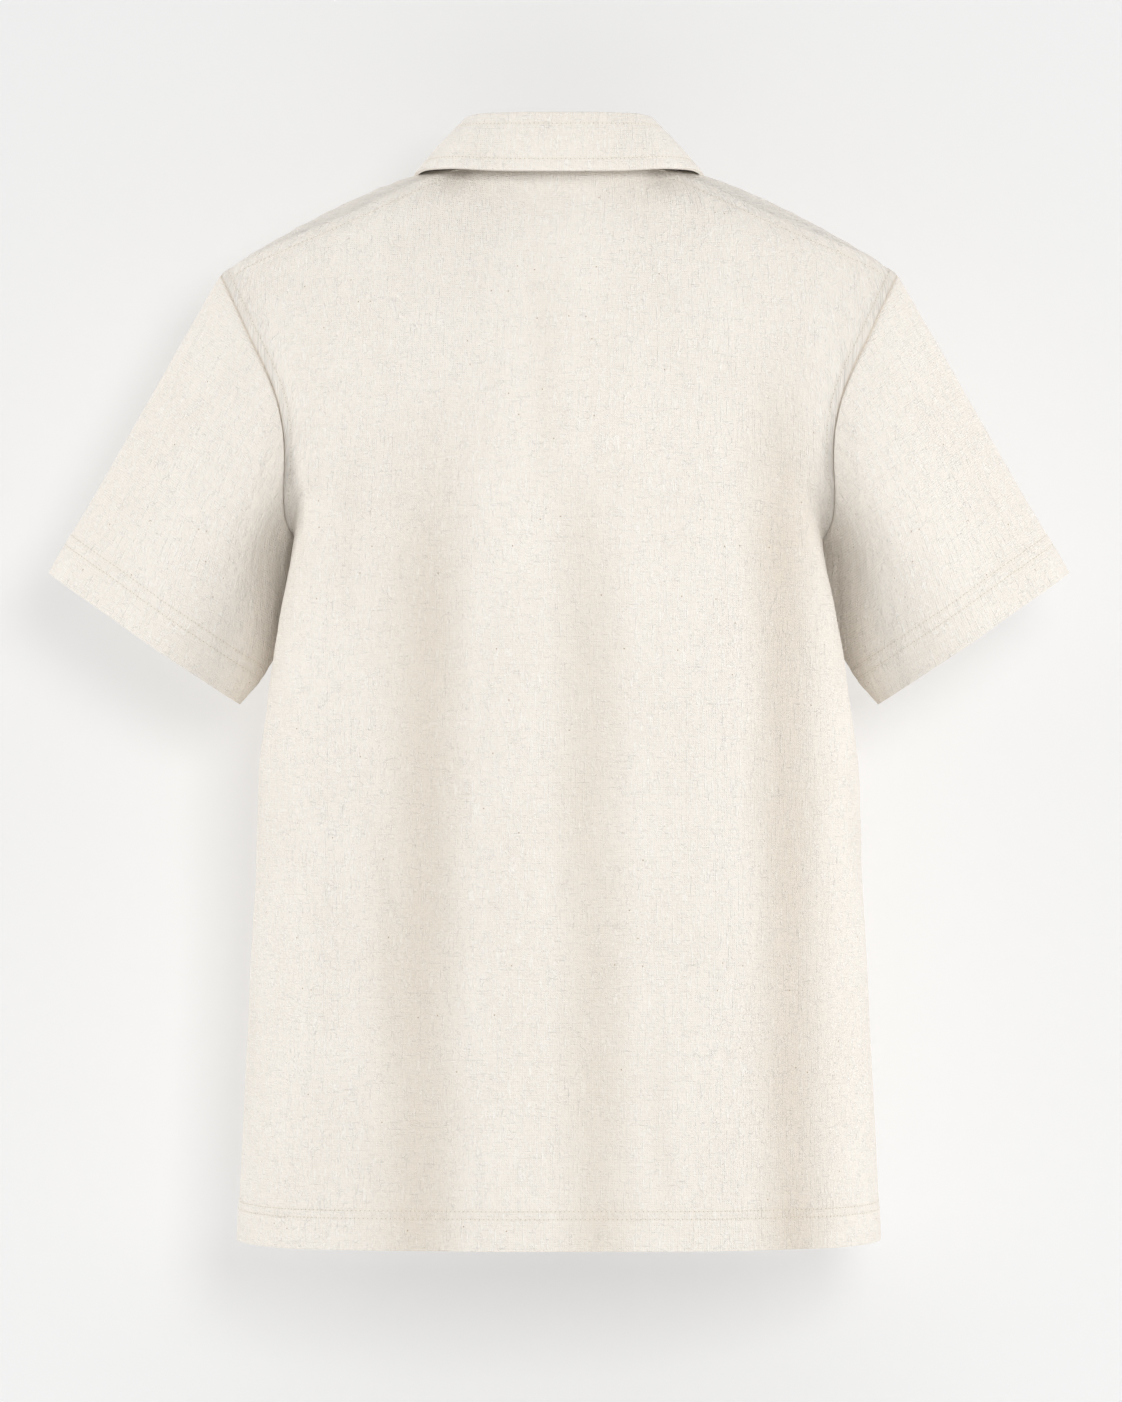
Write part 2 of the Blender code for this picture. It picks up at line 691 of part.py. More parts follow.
def make_right_front(front):
    """The lower front, which steps inward under the placket and ends past the centre."""
    line, outer = MID_FRONT - 1, MID_FRONT - 2
    step = share_at_x(front.middle, line, outer, -STEP_START)
    end = share_at_x(front.middle, MID_FRONT, MID_FRONT + 1, UNDERLAP)
    right = Piece(
        *(
            np.concatenate(
                [
                    values[:, : outer + 1],
                    between(values, line, outer, step),
                    values[:, line : MID_FRONT + 1],
                    between(values, MID_FRONT, MID_FRONT + 1, end),
                ],
                axis=1,
            )
            for values in front
        )
    )
    under = np.zeros(right.middle.shape[1])
    under[outer + 2 :] = -UNDER_STEP
    low = hemmed(right.middle.shape[:2], slice(0, 2)) + under
    wall("front_right", right, low, under + CLOTH / 2, linen, turned=len(under) - 2)


def make_sleeves(arm):
    low = hemmed(arm.middle.shape[:2], slice(-2, None))
    other = Piece(*(values * FLIP for values in arm))
    for name, sewn in (("sleeve_left", arm), ("sleeve_right", other)):
        wall(name, sewn, low, CLOTH / 2, linen, closed=True, turned=CHEST_ROWS)


def collar_ring():
    """Columns round the neck from the front, over the wearer's right, to the front again."""
    _, back_angles = top_edge("back", *columns("back"))
    _, front_angles = top_edge("front", *columns("front"))
    half = np.concatenate([back_angles, front_angles[::-1][1:]])
    angles = np.concatenate([-half[:0:-1], half[:-1]])
    sections = curve_through(COLLAR_SECTIONS, np.abs(angles))
    sides = np.ones((len(angles), 3))
    sides[angles < 0, 0] = -1
    fold = sections[:, 1:4] * sides
    neck = np.array([neck_point(a) for a in angles])
    around = np.roll(fold, -1, axis=0) - np.roll(fold, 1, axis=0)
    up = unit(fold - neck)
    out = unit(np.cross(up, around))
    leg = LEG_BACK + (LEG_FRONT - LEG_BACK) * smoothstep(np.abs(angles) / LEG_CHANGE_DEG)
    return {"neck": neck, "fold": fold, "leaf": sections[:, 4:7] * sides, "up": up, "out": out, "leg": leg}


def at_ring(values, positions):
    """Values round the neck at positions between columns, past the front where the ends overlap."""
    low = np.floor(positions).astype(int)
    part = np.asarray(positions - low)
    part = part.reshape(part.shape + (1,) * (values.ndim - 1))
    return values[low % RING_COLUMNS] * (1 - part) + values[(low + 1) % RING_COLUMNS] * part


def step_position(ring):
    """Where round the neck the right front, and the band on it, step in under the placket."""
    first, second = abs(ring["neck"][1][0]), abs(ring["neck"][2][0])
    return 1 + (STEP_START - first) / (second - first)


def make_band(ring):
    """The collar's stand, from under the front to the end of its tab. It returns the tab's height."""
    plain = range(2, RING_COLUMNS + 2)
    places = np.array([-UNDERLAP / PLACKET_HALF, 0, 1, step_position(ring), *plain])
    level = np.zeros(len(places))
    level[:3] = -BAND_STEP
    neck, up, out = (at_ring(ring[key], places) for key in ("neck", "up", "out"))
    height = np.linalg.norm(at_ring(ring["fold"], places) - neck, axis=1)
    top = height - FOLD_RADIUS - at_ring(ring["leg"], places) - SEAM_GAP / 2
    top[[0, -1]] *= TAB_HEIGHT
    middle = neck + up * (top * np.array(BAND_ROWS)[:, None])[..., None]
    own = np.broadcast_to(out, middle.shape)
    band = piece(middle, own)
    band.out[0] = at_ring(ring["mitre"], places)
    band.shift[0] = at_ring(ring["away"], places)
    half = DOUBLED / 2
    wall("collar_band", band, level - half, level + half, linen, turned=len(places) // 2)
    return top[2]


def make_collar(ring):
    """The turned-down collar. Its section is an inner leg, a fold over the band and the leaf."""
    parting = LEAF_PARTING / PLACKET_HALF
    plain = range(2, RING_COLUMNS)
    places = np.array([parting, 1, step_position(ring), *plain, RING_COLUMNS - parting])
    level = np.zeros((len(places), 1))
    level[:2] = -BAND_STEP
    fold, up, out = (at_ring(ring[key], places) for key in ("fold", "up", "out"))
    leg = at_ring(ring["leg"], places)[:, None]
    leaf = at_ring(ring["leaf"], places)
    leaf[-1] = leaf[0] * FLIP
    radius_out = FOLD_RADIUS - level / 2
    centre = fold - up * FOLD_RADIUS + out * (FOLD_RADIUS + level / 2)
    run = leaf - fold
    turn_end = np.pi / 2 + np.arctan2(-dot(run, up), dot(run, out) - 2 * FOLD_RADIUS)
    rows = [centre - out * radius_out - up * (leg - SEAM_GAP / 2)]
    for k in range(FOLD_STEPS + 1):
        turn = turn_end * k / FOLD_STEPS
        rows.append(centre - out * radius_out * np.cos(turn) + up * FOLD_RADIUS * np.sin(turn))
    start = rows[-1]
    for k in range(1, LEAF_STEPS + 1):
        rows.append(start + (leaf - start) * k / LEAF_STEPS)
    middle = np.array(rows)
    half = DOUBLED / 2
    wall("collar", piece(middle, normals_of(middle)), -half, half, linen, turned=len(places) // 2)


def button_blank():
    """A round button with a raised rim, lying on its back at the origin."""
    half = BUTTON_THICK / 2
    profile = (
        (0, half - BUTTON_DISH),
        (BUTTON_RADIUS - BUTTON_RIM - BUTTON_BEVEL, half - BUTTON_DISH),
        (BUTTON_RADIUS - BUTTON_RIM, half),
        (BUTTON_RADIUS - BUTTON_BEVEL, half),
        (BUTTON_RADIUS, half - BUTTON_BEVEL),
        (BUTTON_RADIUS, -half),
        (0, -half),
    )
    points, rings = [], []
    for radius, height in profile:
        sides = BUTTON_SIDES if radius else 1
        rings.append(list(range(len(points), len(points) + sides)))
        for k in range(sides):
            turn = 2 * math.pi * k / BUTTON_SIDES
            points.append(np.array([radius * math.cos(turn), radius * math.sin(turn), height]))
    faces = []
    for first, second in zip(rings[:-1], rings[1:]):
        for k in range(BUTTON_SIDES):
            n = (k + 1) % BUTTON_SIDES
            if len(first) == 1:
                faces.append((first[0], second[k], second[n]))
            elif len(second) == 1:
                faces.append((first[n], first[k], second[0]))
            else:
                faces.append((first[k], second[k], second[n], first[n]))
    return mesh_object("button_blank", points, faces, button_plastic)


def thread_holes():
    """Four upright pins that cut the button's holes."""
    points, faces = [], []
    for quarter in range(4):
        turn = math.pi / 4 + quarter * math.pi / 2
        middle = BUTTON_HOLE_OFFSET * np.array([math.cos(turn), math.sin(turn), 0])
        base = len(points)
        for level in (-BUTTON_THICK, BUTTON_THICK):
            for k in range(HOLE_SIDES):
                way = 2 * math.pi * k / HOLE_SIDES
                rim = np.array([math.cos(way), math.sin(way), 0]) * BUTTON_HOLE_RADIUS
                points.append(middle + rim + np.array([0, 0, level]))
        low = [base + k for k in range(HOLE_SIDES)]
        high = [base + HOLE_SIDES + k for k in range(HOLE_SIDES)]
        faces += [tuple(low[::-1]), tuple(high)]
        for k in range(HOLE_SIDES):
            n = (k + 1) % HOLE_SIDES
            faces.append((low[k], low[n], high[n], high[k]))
    pins = mesh_object("thread_holes", points, faces, button_plastic)
    pins.hide_render = True
    pins.display_type = "WIRE"
    return pins


def button_mesh():
    """The button with its holes cut, as one mesh that every button shares."""
    blank, pins = button_blank(), thread_holes()
    cut = blank.modifiers.new("holes", "BOOLEAN")
    cut.object = pins
    graph = bpy.context.evaluated_depsgraph_get()
    made = bpy.data.meshes.new_from_object(blank.evaluated_get(graph))
    made.name = "shirt_button"
    for helper in (blank, pins):
        bpy.data.objects.remove(helper)
    return made


def place_button(name, button, point, way):
    """A copy of the button that lies on the cloth at a point, its face along way."""
    made = bpy.data.objects.new(name, button)
    bpy.context.scene.collection.objects.link(made)
    made.rotation_euler = Vector(way).to_track_quat("Z", "Y").to_euler()
    made.location = Vector((point + way * (BUTTON_THICK / 2 + SEAM_GAP)) * MM)


def on_centre_line(front, z):
    """A point of the front's middle surface on its centre line, and the outward way of the facet it is on."""
    line = front.middle[:, MID_FRONT]
    row = np.searchsorted(line[:, 2], z) - 1
    part = (z - line[row, 2]) / (line[row + 1, 2] - line[row, 2])
    way = np.cross((1.0, 0, 0), line[row + 1] - line[row])
    return line[row] + (line[row + 1] - line[row]) * part, unit(way)


def make_buttons(front, ring, band_height):
    button = button_mesh()
    top_z = front.middle[-1, MID_FRONT, 2]
    for number in range(PLACKET_BUTTONS):
        z = top_z - BUTTON_FIRST_DROP - number * BUTTON_PITCH
        point, way = on_centre_line(front, z)
        place_button(f"button_{number + 1}", button, point + way * (DOUBLED - CLOTH / 2), way)
    way = ring["out"][0]
    point = ring["neck"][0] + ring["up"][0] * band_height / 2 + way * DOUBLED / 2
    place_button("button_collar", button, point, way)


linen = plain_finish("linen", (0.925, 0.895, 0.845), 0.9)
button_plastic = plain_finish("button_plastic", (0.93, 0.91, 0.87), 0.35)

back_grid = folded(eased(whole(panel("back"))), BACK_FOLDS, 1)
placket_columns = [MID_FRONT - 1, MID_FRONT, MID_FRONT + 1]
front_grid = folded(eased(whole(panel("front")), placket_columns), FRONT_FOLDS, -1)
sleeve_grid = sleeve_folded(*sleeve())
shirt_back = piece(back_grid, -normals_of(back_grid))
shirt_front = piece(front_grid, normals_of(front_grid))
shirt_sleeve = piece(sleeve_grid, -normals_of(sleeve_grid, closed=True))
neck_ring = collar_ring()

join_sides(shirt_back, shirt_front)
join_shoulders(shirt_back, shirt_front)
join_armholes(shirt_back, shirt_front, shirt_sleeve)
join_neck(shirt_back, shirt_front, neck_ring)

make_back(shirt_back)
make_left_front(shirt_front)
make_placket(shirt_front)
make_right_front(shirt_front)
make_sleeves(shirt_sleeve)
tab_height = make_band(neck_ring)
make_collar(neck_ring)
make_buttons(shirt_front, neck_ring, tab_height)
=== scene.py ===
# A short-sleeve linen shirt in its worn shape, with nobody in it, seen from behind as it hangs in the air.
# X runs across the body with the wearer's left at +X, the chest faces -Y, and Z is up.
# Sizes are in millimetres until a mesh is made.
import json
import math
from collections import namedtuple

import bpy
import numpy as np
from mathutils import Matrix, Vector

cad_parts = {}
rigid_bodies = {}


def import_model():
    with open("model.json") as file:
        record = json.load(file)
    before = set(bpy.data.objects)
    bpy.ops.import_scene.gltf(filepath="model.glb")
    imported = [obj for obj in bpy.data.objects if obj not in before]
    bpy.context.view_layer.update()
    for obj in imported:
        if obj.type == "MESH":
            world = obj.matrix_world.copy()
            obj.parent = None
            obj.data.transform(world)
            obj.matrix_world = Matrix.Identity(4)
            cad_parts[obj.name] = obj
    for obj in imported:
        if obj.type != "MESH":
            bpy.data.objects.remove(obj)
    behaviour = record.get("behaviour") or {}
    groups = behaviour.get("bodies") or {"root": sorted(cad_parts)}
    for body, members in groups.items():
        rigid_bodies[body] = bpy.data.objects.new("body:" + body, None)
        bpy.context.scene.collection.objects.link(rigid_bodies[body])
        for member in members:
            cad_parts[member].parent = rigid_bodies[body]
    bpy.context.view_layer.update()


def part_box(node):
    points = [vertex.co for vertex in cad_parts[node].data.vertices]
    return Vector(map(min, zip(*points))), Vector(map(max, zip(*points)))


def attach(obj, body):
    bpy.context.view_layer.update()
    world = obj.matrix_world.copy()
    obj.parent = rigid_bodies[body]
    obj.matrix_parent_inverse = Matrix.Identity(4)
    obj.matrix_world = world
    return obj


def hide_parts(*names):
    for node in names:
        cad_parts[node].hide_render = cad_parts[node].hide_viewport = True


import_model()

MM = 0.001

# The back is one piece of cloth from side seam to side seam, cut straight down the grain.
# Worn, it runs flat over the shoulder blades, rounds away at the sides and hangs in soft folds.
# Its level sections give the form: side is the half width at the side seam, and lobe is how far
# the curve's handle reaches past that seam, where the cloth falls full behind and before the arm.
Ring = namedtuple("Ring", "z side back front back_lobe front_lobe")
BODY_RINGS = (
    Ring(-724, 214.0, 124, -124, 0, 0),
    Ring(-605, 208.0, 119, -120, 0, 0),
    Ring(-500, 202.5, 117, -118, 0, 0),
    Ring(-390, 191.0, 117, -118, 33, 24),
    Ring(-320, 169.0, 118, -119, 86, 58),
    Ring(-262, 161.0, 119, -120, 90, 60),
)
FLAT_SHARE = 0.60
HANDLE_DEPTH = 0.66
SECTION_POINTS = 121
HEM_Z = {"back": -722.0, "side": -726.0, "front": -723.0}
HEM_DEPTH = 27.0
HEM_STITCHES = (20.7, 25.8)
UNDERARM_Z = -262.0
LEVEL_STEP = 10.0

# The neck seam by angle round from the centre back, and the shoulder seam out to the arm.
NECK_HALF = 64.0
NECK_MID_Y = -2.0
NECK_BACK = 57.0
NECK_FRONT = 64.0
NECK_ROUNDNESS = 0.92
NeckLevel = namedtuple("NeckLevel", "angle z")
NECK_LEVELS = (
    NeckLevel(0, -18.8),
    NeckLevel(40, -16.5),
    NeckLevel(72, -11.5),
    NeckLevel(90, -9.5),
    NeckLevel(110, -24.0),
    NeckLevel(130, -46.0),
    NeckLevel(150, -66.0),
    NeckLevel(168, -76.3),
    NeckLevel(180, -78.0),
)
SEAM_ANGLE = 72.0
SeamPoint = namedtuple("SeamPoint", "x y z")
SHOULDER_SEAM = (
    SeamPoint(80, 15, -16.0),
    SeamPoint(108, 15, -27.5),
    SeamPoint(145, 14, -44.5),
    SeamPoint(190, 13, -63.5),
    SeamPoint(210, 11, -73.0),
    SeamPoint(224.5, 8, -83.5),
)
SEAM_SLOPE_NECK_DEG = 52.0
SEAM_SLOPE_DEG = 54.0
SEAM_SLOPE_RUN = 30.0
SEAM_PULL = 195.0
CHEST_PULL = 1.05
NECK_PULL_IN = 100.0
NECK_PULL_UP = 175.0
NECK_PULL_SIDE = -60.0
NECK_PULL_DROP = -90.0
LOBE_FADE = 0.18
LOBE_POWER = 1.5
EASE_PASSES = 6
EASE_ROWS = 3
EASE_SHARE = 0.5
ARM_REACH_LOW = 0.55
ARM_REACH_TOP = 0.2
ARMHOLES = {
    "back": (
        SeamPoint(161, 0, -262),
        SeamPoint(171, 13, -259.5),
        SeamPoint(179, 30, -250),
        SeamPoint(181, 46, -234),
        SeamPoint(180, 60, -206),
        SeamPoint(182, 65, -180),
        SeamPoint(189.5, 64, -155),
        SeamPoint(199, 57, -136),
        SeamPoint(212.5, 36, -108),
        SeamPoint(224.5, 8, -83.5),
    ),
    "front": (
        SeamPoint(161, 0, -262),
        SeamPoint(168.5, -13, -259.5),
        SeamPoint(174, -30, -250),
        SeamPoint(175, -46, -234),
        SeamPoint(175, -58, -206),
        SeamPoint(184, -62, -158),
        SeamPoint(200, -50, -122),
        SeamPoint(217.5, -26, -89),
        SeamPoint(224, -10, -79.5),
        SeamPoint(224.5, 8, -83.5),
    ),
}
NECK_COLUMNS = {"back": 6, "front": 7}
NECK_SHARE = {"back": 0.30, "front": 0.36}
SHOULDER_COLUMNS = 9
BODY_ROWS = 13
CHEST_ROWS = 11
PLACKET_HALF = 16.0
FLIP = np.array([-1, 1, 1])

# Soft folds that hang down the back. Each runs from its top to its low point, and height is how
# far it stands out of the cloth, or into it when it is negative.
Fold = namedtuple("Fold", "x_top x_low z_top z_low width height")
FOLD_RISE = 0.3
CREASE_RISE = 0.35
FOLD_FREE_COLUMNS = 2.0
FOLD_FREE_ROWS = 4.0
BACK_FOLDS = (
    Fold(158, 164, -110, -700, 18, 3.0),
    Fold(84, 92, -150, -700, 26, -4.5),
    Fold(30, 34, -190, -700, 22, 2.5),
    Fold(-16, -24, -170, -700, 22, -3.5),
    Fold(-84, -90, -150, -700, 26, 2.5),
    Fold(-142, -152, -100, -700, 22, -5.0),
)
BACK_CREASES = (
    Fold(12, 6, -60, -260, 9, -0.9),
    Fold(62, 74, -300, -560, 8, 0.7),
    Fold(118, 108, -420, -640, 7, -0.8),
    Fold(-48, -40, -330, -520, 7, 0.7),
    Fold(-62, -70, -560, -724, 8, -0.9),
    Fold(-118, -108, -250, -470, 8, 0.8),
    Fold(52, 46, -600, -724, 7, 0.8),
    Fold(132, 140, -190, -330, 9, -0.9),
    Fold(-176, -166, -190, -300, 9, 1.0),
    Fold(2, 10, -480, -724, 9, 0.8),
)

# The cloth's own thickness is drawn at 0.8 mm so that an edge shows from a step away.
CLOTH_OUT = 0.6
CLOTH_IN = 0.2
SEAM_TURN = 1.5
# Strengths and widths of the painted shade in seams, stitch rows, fold valleys and creases.
SEAM_SHADE = 0.55
SEAM_SHADE_WIDTH = 0.8
ROW_SHADE = 0.06
ROW_SHADE_WIDTH = 1.1
FOLD_SHADE = 0.075
CREASE_SHADE = 0.10
FOLD_SHADE_FREE = 20.0
EDGE_SHARE = 0.3
ARM_START = 6.0
SLEEVE_TUCK = 1.6
TOPSTITCH = 6.0
SHOULDER_STITCH = 8.0
TOPSTITCH_RAISE = 0.5
STITCH_GROOVE = 0.3
GROOVE_WIDTH = 1.3
HEM_RAISE = 0.4
RAISED_END = 2.0
LINES_NEAR_SEAM = (0.6, 1.5, 3.2, 5.2, 6.0, 6.8, 8.2)
LINES_NEAR_HEM = (0.8, 2.5, 19.8, 20.7, 21.6, 24.9, 25.8, 26.7, 28.5)
LINES_BELOW_SHOULDER = (1.2, 3.2, 7.0, 8.0, 9.0, 11.0)
CELL_BELOW = 36.4
CELL_ABOVE = 22.0
CELL_ACROSS = 17.5
LEAST_CELL = 0.4
NECK_LINES = 4
SIDE_LINES = 6
BODY_LINES = 9
CHEST_LINES = 8

# Linen relaxes into fine upright ripples after washing, drawn as a sum of waves.
RIPPLE_WAVES = 26
RIPPLE_ACROSS = (9.0, 34.0)
RIPPLE_ALONG = (40.0, 220.0)
RIPPLE_HEIGHT = 0.16
RIPPLE_SEED = 11
RippleFree = namedtuple("RippleFree", "side hem top")
RIPPLE_FREE = RippleFree(14.0, 9.0, 12.0)
RIPPLE_HELD = 0.35
THREADS_DRAWN = 1.5
YARN_RELIEF = 0.21
CREASE_CELL = 6.0
CREASE_STRAY = 8.0
HUSK_CELL = 17.0
HUSK_RADIUS = (0.018, 0.034)
HUSK_SHARE = 0.22


def curve_through(rows, at, key=0):
    """Values of a table's columns at the given key, on one smooth curve through its rows."""
    table = np.array(rows, float)
    keys = table[:, key]
    if keys[0] > keys[-1]:
        table, keys = table[::-1], keys[::-1]
    slopes = np.gradient(table, keys, axis=0)
    at = np.clip(np.asarray(at, float), keys[0], keys[-1])
    low = np.clip(np.searchsorted(keys, at, side="right") - 1, 0, len(keys) - 2)
    span = (keys[low + 1] - keys[low])[..., None]
    t = (at - keys[low])[..., None] / span
    return hermite(table[low], slopes[low] * span, table[low + 1], slopes[low + 1] * span, t)


def hermite(start, start_pull, end, end_pull, t):
    """A cubic that leaves start along start_pull and reaches end along end_pull."""
    return (
        (2 * t**3 - 3 * t**2 + 1) * start
        + (t**3 - 2 * t**2 + t) * start_pull
        + (3 * t**2 - 2 * t**3) * end
        + (t**3 - t**2) * end_pull
    )


def smoothstep(t):
    t = np.clip(t, 0, 1)
    return t * t * (3 - 2 * t)


def unit(vectors):
    return vectors / np.linalg.norm(vectors, axis=-1, keepdims=True)


def dot(a, b):
    return np.sum(a * b, axis=-1, keepdims=True)


def run_along(points):
    """Each point's distance along the cloth from the first point of its row."""
    steps = np.linalg.norm(np.diff(points, axis=-2), axis=-1)
    return np.concatenate([np.zeros((*steps.shape[:-1], 1)), np.cumsum(steps, axis=-1)], axis=-1)


def run_up(grid):
    """Each point's distance along the cloth from the first point of its column."""
    return run_along(grid.swapaxes(0, 1)).swapaxes(0, 1)


def along(points, shares):
    """Points at the given shares of a polyline's length."""
    points = np.array(points, float)
    reached = run_along(points)
    return np.stack([np.interp(shares, reached / reached[-1], points[:, k]) for k in range(3)], axis=-1)


def smooth_path(points, count=161):
    """A dense smooth curve through a short list of points, keyed by their running length."""
    points = np.array(points, float)
    keys = run_along(points)
    return curve_through(np.column_stack([keys, points]), np.linspace(0, keys[-1], count))[:, 1:]


def neck_point(angle):
    """A point of the neck seam, by angle in degrees from the centre back towards +X."""
    a = math.radians(angle)
    reach = NECK_BACK if math.cos(a) > 0 else NECK_FRONT
    x = NECK_HALF * math.copysign(abs(math.sin(a)) ** NECK_ROUNDNESS, math.sin(a))
    return np.array([x, NECK_MID_Y + reach * math.cos(a), curve_through(NECK_LEVELS, abs(angle))[1]])


def section_points(ring, side, shares):
    """Points of a level ring at shares of its length. Near the centre front they keep the placket's width."""
    depth = ring[2] if side == "back" else ring[3]
    lobe = ring[4] if side == "back" else ring[5]
    handles = np.array(
        [(0, depth), (FLAT_SHARE * ring[1], depth), (ring[1] + lobe, HANDLE_DEPTH * depth), (ring[1], 0)]
    )
    t = np.linspace(0, 1, SECTION_POINTS)[:, None]
    weights = ((1 - t) ** 3, 3 * (1 - t) ** 2 * t, 3 * (1 - t) * t**2, t**3)
    flat = sum(weight * handle for weight, handle in zip(weights, handles))
    dense = np.column_stack([flat, np.full(len(flat), ring[0])])
    if side == "back":
        return along(dense, shares)
    edge = PLACKET_HALF / run_along(dense)[-1]
    past = edge + (shares - shares[1]) / (1 - shares[1]) * (1 - edge)
    return along(dense, np.where(shares <= shares[1], shares / shares[1] * edge, past))


def column_shares(side):
    """Shares of the way from the centre line to the side seam."""
    neck = NECK_SHARE[side]
    to_neck = np.linspace(0, neck, NECK_COLUMNS[side] + 1)
    return np.concatenate([to_neck, np.linspace(neck, 1, SHOULDER_COLUMNS + 1)[1:]])


def neck_angles(side):
    """The neck seam's angle at each column from the centre line to the shoulder seam."""
    count = NECK_COLUMNS[side]
    if side == "back":
        return np.linspace(0, SEAM_ANGLE, count + 1)
    centre = math.degrees(math.asin((PLACKET_HALF / NECK_HALF) ** (1 / NECK_ROUNDNESS)))
    return np.concatenate([[180], np.linspace(180 - centre, SEAM_ANGLE, count)])


def top_edge(side, shares):
    """The neckline and then the shoulder seam, one point for each column."""
    neck = NECK_COLUMNS[side]
    seam = smooth_path([neck_point(SEAM_ANGLE), *SHOULDER_SEAM])
    on_seam = along(seam, (shares[neck:] - shares[neck]) / (1 - shares[neck]))
    return np.concatenate([[neck_point(a) for a in neck_angles(side)[:-1]], on_seam])


def half_panel(side):
    """Half a back or front, as rows from hem to top of points from centre to side."""
    shares = column_shares(side)
    neck_share = shares[NECK_COLUMNS[side]]
    hem = HEM_Z[side] + (HEM_Z["side"] - HEM_Z[side]) * shares**2
    hem_share = HEM_DEPTH / (UNDERARM_Z - HEM_Z["side"])
    rows = []
    for share in np.concatenate([[0], np.linspace(hem_share, 1, BODY_ROWS)]):
        heights = hem + (UNDERARM_Z - hem) * share
        rings = [curve_through(BODY_RINGS, z) for z in heights]
        rows.append([section_points(ring, side, shares)[i] for i, ring in enumerate(rings)])
    ring = curve_through(BODY_RINGS, UNDERARM_Z)
    chest = section_points(ring, side, shares)
    below = section_points(curve_through(BODY_RINGS, UNDERARM_Z - LEVEL_STEP), side, shares)
    lobe = chest - section_points((*ring[:4], 0, 0), side, shares)
    top = top_edge(side, shares)
    facing = 1 if side == "back" else -1
    climb = np.linalg.norm(top - chest, axis=1)[:, None]
    start_pull = (chest - below) / LEVEL_STEP * climb * CHEST_PULL
    out_along = smoothstep((top[:, 0] - NECK_HALF) / SEAM_SLOPE_RUN)
    slope = np.radians(SEAM_SLOPE_NECK_DEG + (SEAM_SLOPE_DEG - SEAM_SLOPE_NECK_DEG) * out_along)
    seam_pull = np.column_stack([0 * slope, -facing * np.cos(slope), facing * np.sin(slope)]) * SEAM_PULL
    round_neck = np.clip(shares / neck_share, 0, 1)[:, None]
    centre_pull = np.array([0, -facing * NECK_PULL_IN, NECK_PULL_UP])
    neck_pull = centre_pull + np.array([NECK_PULL_SIDE, 0, NECK_PULL_DROP]) * round_neck**2
    blend = smoothstep(round_neck**3)
    end_pull = neck_pull * (1 - blend) + seam_pull * blend
    arm = smooth_path(ARMHOLES[side])
    for share in np.linspace(0, 1, CHEST_ROWS + 1)[1:]:
        row = hermite(chest - lobe, start_pull, top, end_pull, share)
        row = row + lobe * max(0.0, 1 - share / LOBE_FADE) ** LOBE_POWER
        reach = ARM_REACH_LOW + (ARM_REACH_TOP - ARM_REACH_LOW) * share
        to_arm = smoothstep((shares - 1 + reach) / reach)[:, None]
        rows.append(row + (along(arm, [share])[0] - row[-1]) * to_arm)
    return np.array(rows)


def eased(grid, held_x=()):
    """The panel evened out across the chest, and up and down at the underarm's level."""
    across = np.zeros(grid.shape[:2])
    rows_up = np.arange(len(grid) - 1)[:, None] - (BODY_ROWS - EASE_ROWS - 1)
    across[:-1, 1:-1] = EASE_SHARE * smoothstep(rows_up / (2 * EASE_ROWS))
    upright = np.zeros(grid.shape[:2])
    upright[BODY_ROWS - EASE_ROWS : BODY_ROWS + EASE_ROWS, 1:-1] = EASE_SHARE
    held = grid[:, held_x, 0].copy()
    for _ in range(EASE_PASSES):
        step = np.zeros_like(grid)
        step[:, 1:-1] += (grid[:, :-2] / 2 + grid[:, 2:] / 2 - grid[:, 1:-1]) * across[:, 1:-1, None]
        step[1:-1] += (grid[:-2] / 2 + grid[2:] / 2 - grid[1:-1]) * upright[1:-1, :, None]
        grid = grid + step
        grid[:, held_x, 0] = held
    return grid


def normals_of(grid, closed=False):
    """Unit normals of a grid of points, from columns crossed with rows."""
    if closed:
        around = (np.roll(grid, -1, axis=1) - np.roll(grid, 1, axis=1)) / 2
    else:
        around = np.gradient(grid, axis=1)
    return unit(np.cross(around, np.gradient(grid, axis=0)))


def beside(place, line, width):
    """How near a place lies to a line, from 1 on it down to 0 a few widths off."""
    return np.exp(-(((place - line) / width) ** 2))


def fold_height(folds, x, z):
    """How far the folds lift the cloth at a place. Each rises over the first part of its length."""
    total = np.zeros_like(x)
    for fold in folds:
        way = (fold.z_top - z) / (fold.z_top - fold.z_low)
        centre = fold.x_top + (fold.x_low - fold.x_top) * np.clip(way, 0, 1)
        total += fold.height * smoothstep(way / FOLD_RISE) * beside(x, centre, fold.width)
    return total


def crease_height(creases, x, z):
    """The same for a shorter crease, which also dies out at its low end."""
    total = np.zeros_like(x)
    for crease in creases:
        way = (crease.z_top - z) / (crease.z_top - crease.z_low)
        centre = crease.x_top + (crease.x_low - crease.x_top) * way
        ends = smoothstep(way / CREASE_RISE) * smoothstep((1 - way) / CREASE_RISE)
        total += crease.height * ends * beside(x, centre, crease.width)
    return total


def folded(grid, folds, facing):
    """The panel with its folds, which die out at its seams."""
    outward = normals_of(grid) * -facing
    height = fold_height(folds, grid[..., 0], grid[..., 2])
    from_side = np.minimum(np.arange(grid.shape[1]), np.arange(grid.shape[1])[::-1])
    free = smoothstep(from_side / FOLD_FREE_COLUMNS)[None, :]
    rows_down = np.arange(grid.shape[0])[::-1, None]
    free = free * smoothstep(rows_down / FOLD_FREE_ROWS)
    return grid + outward * (height * free)[..., None]


def whole(half):
    """A half panel from centre to side, joined with its mirror image."""
    return np.concatenate([half[:, ::-1] * FLIP, half[:, 1:]], axis=1)


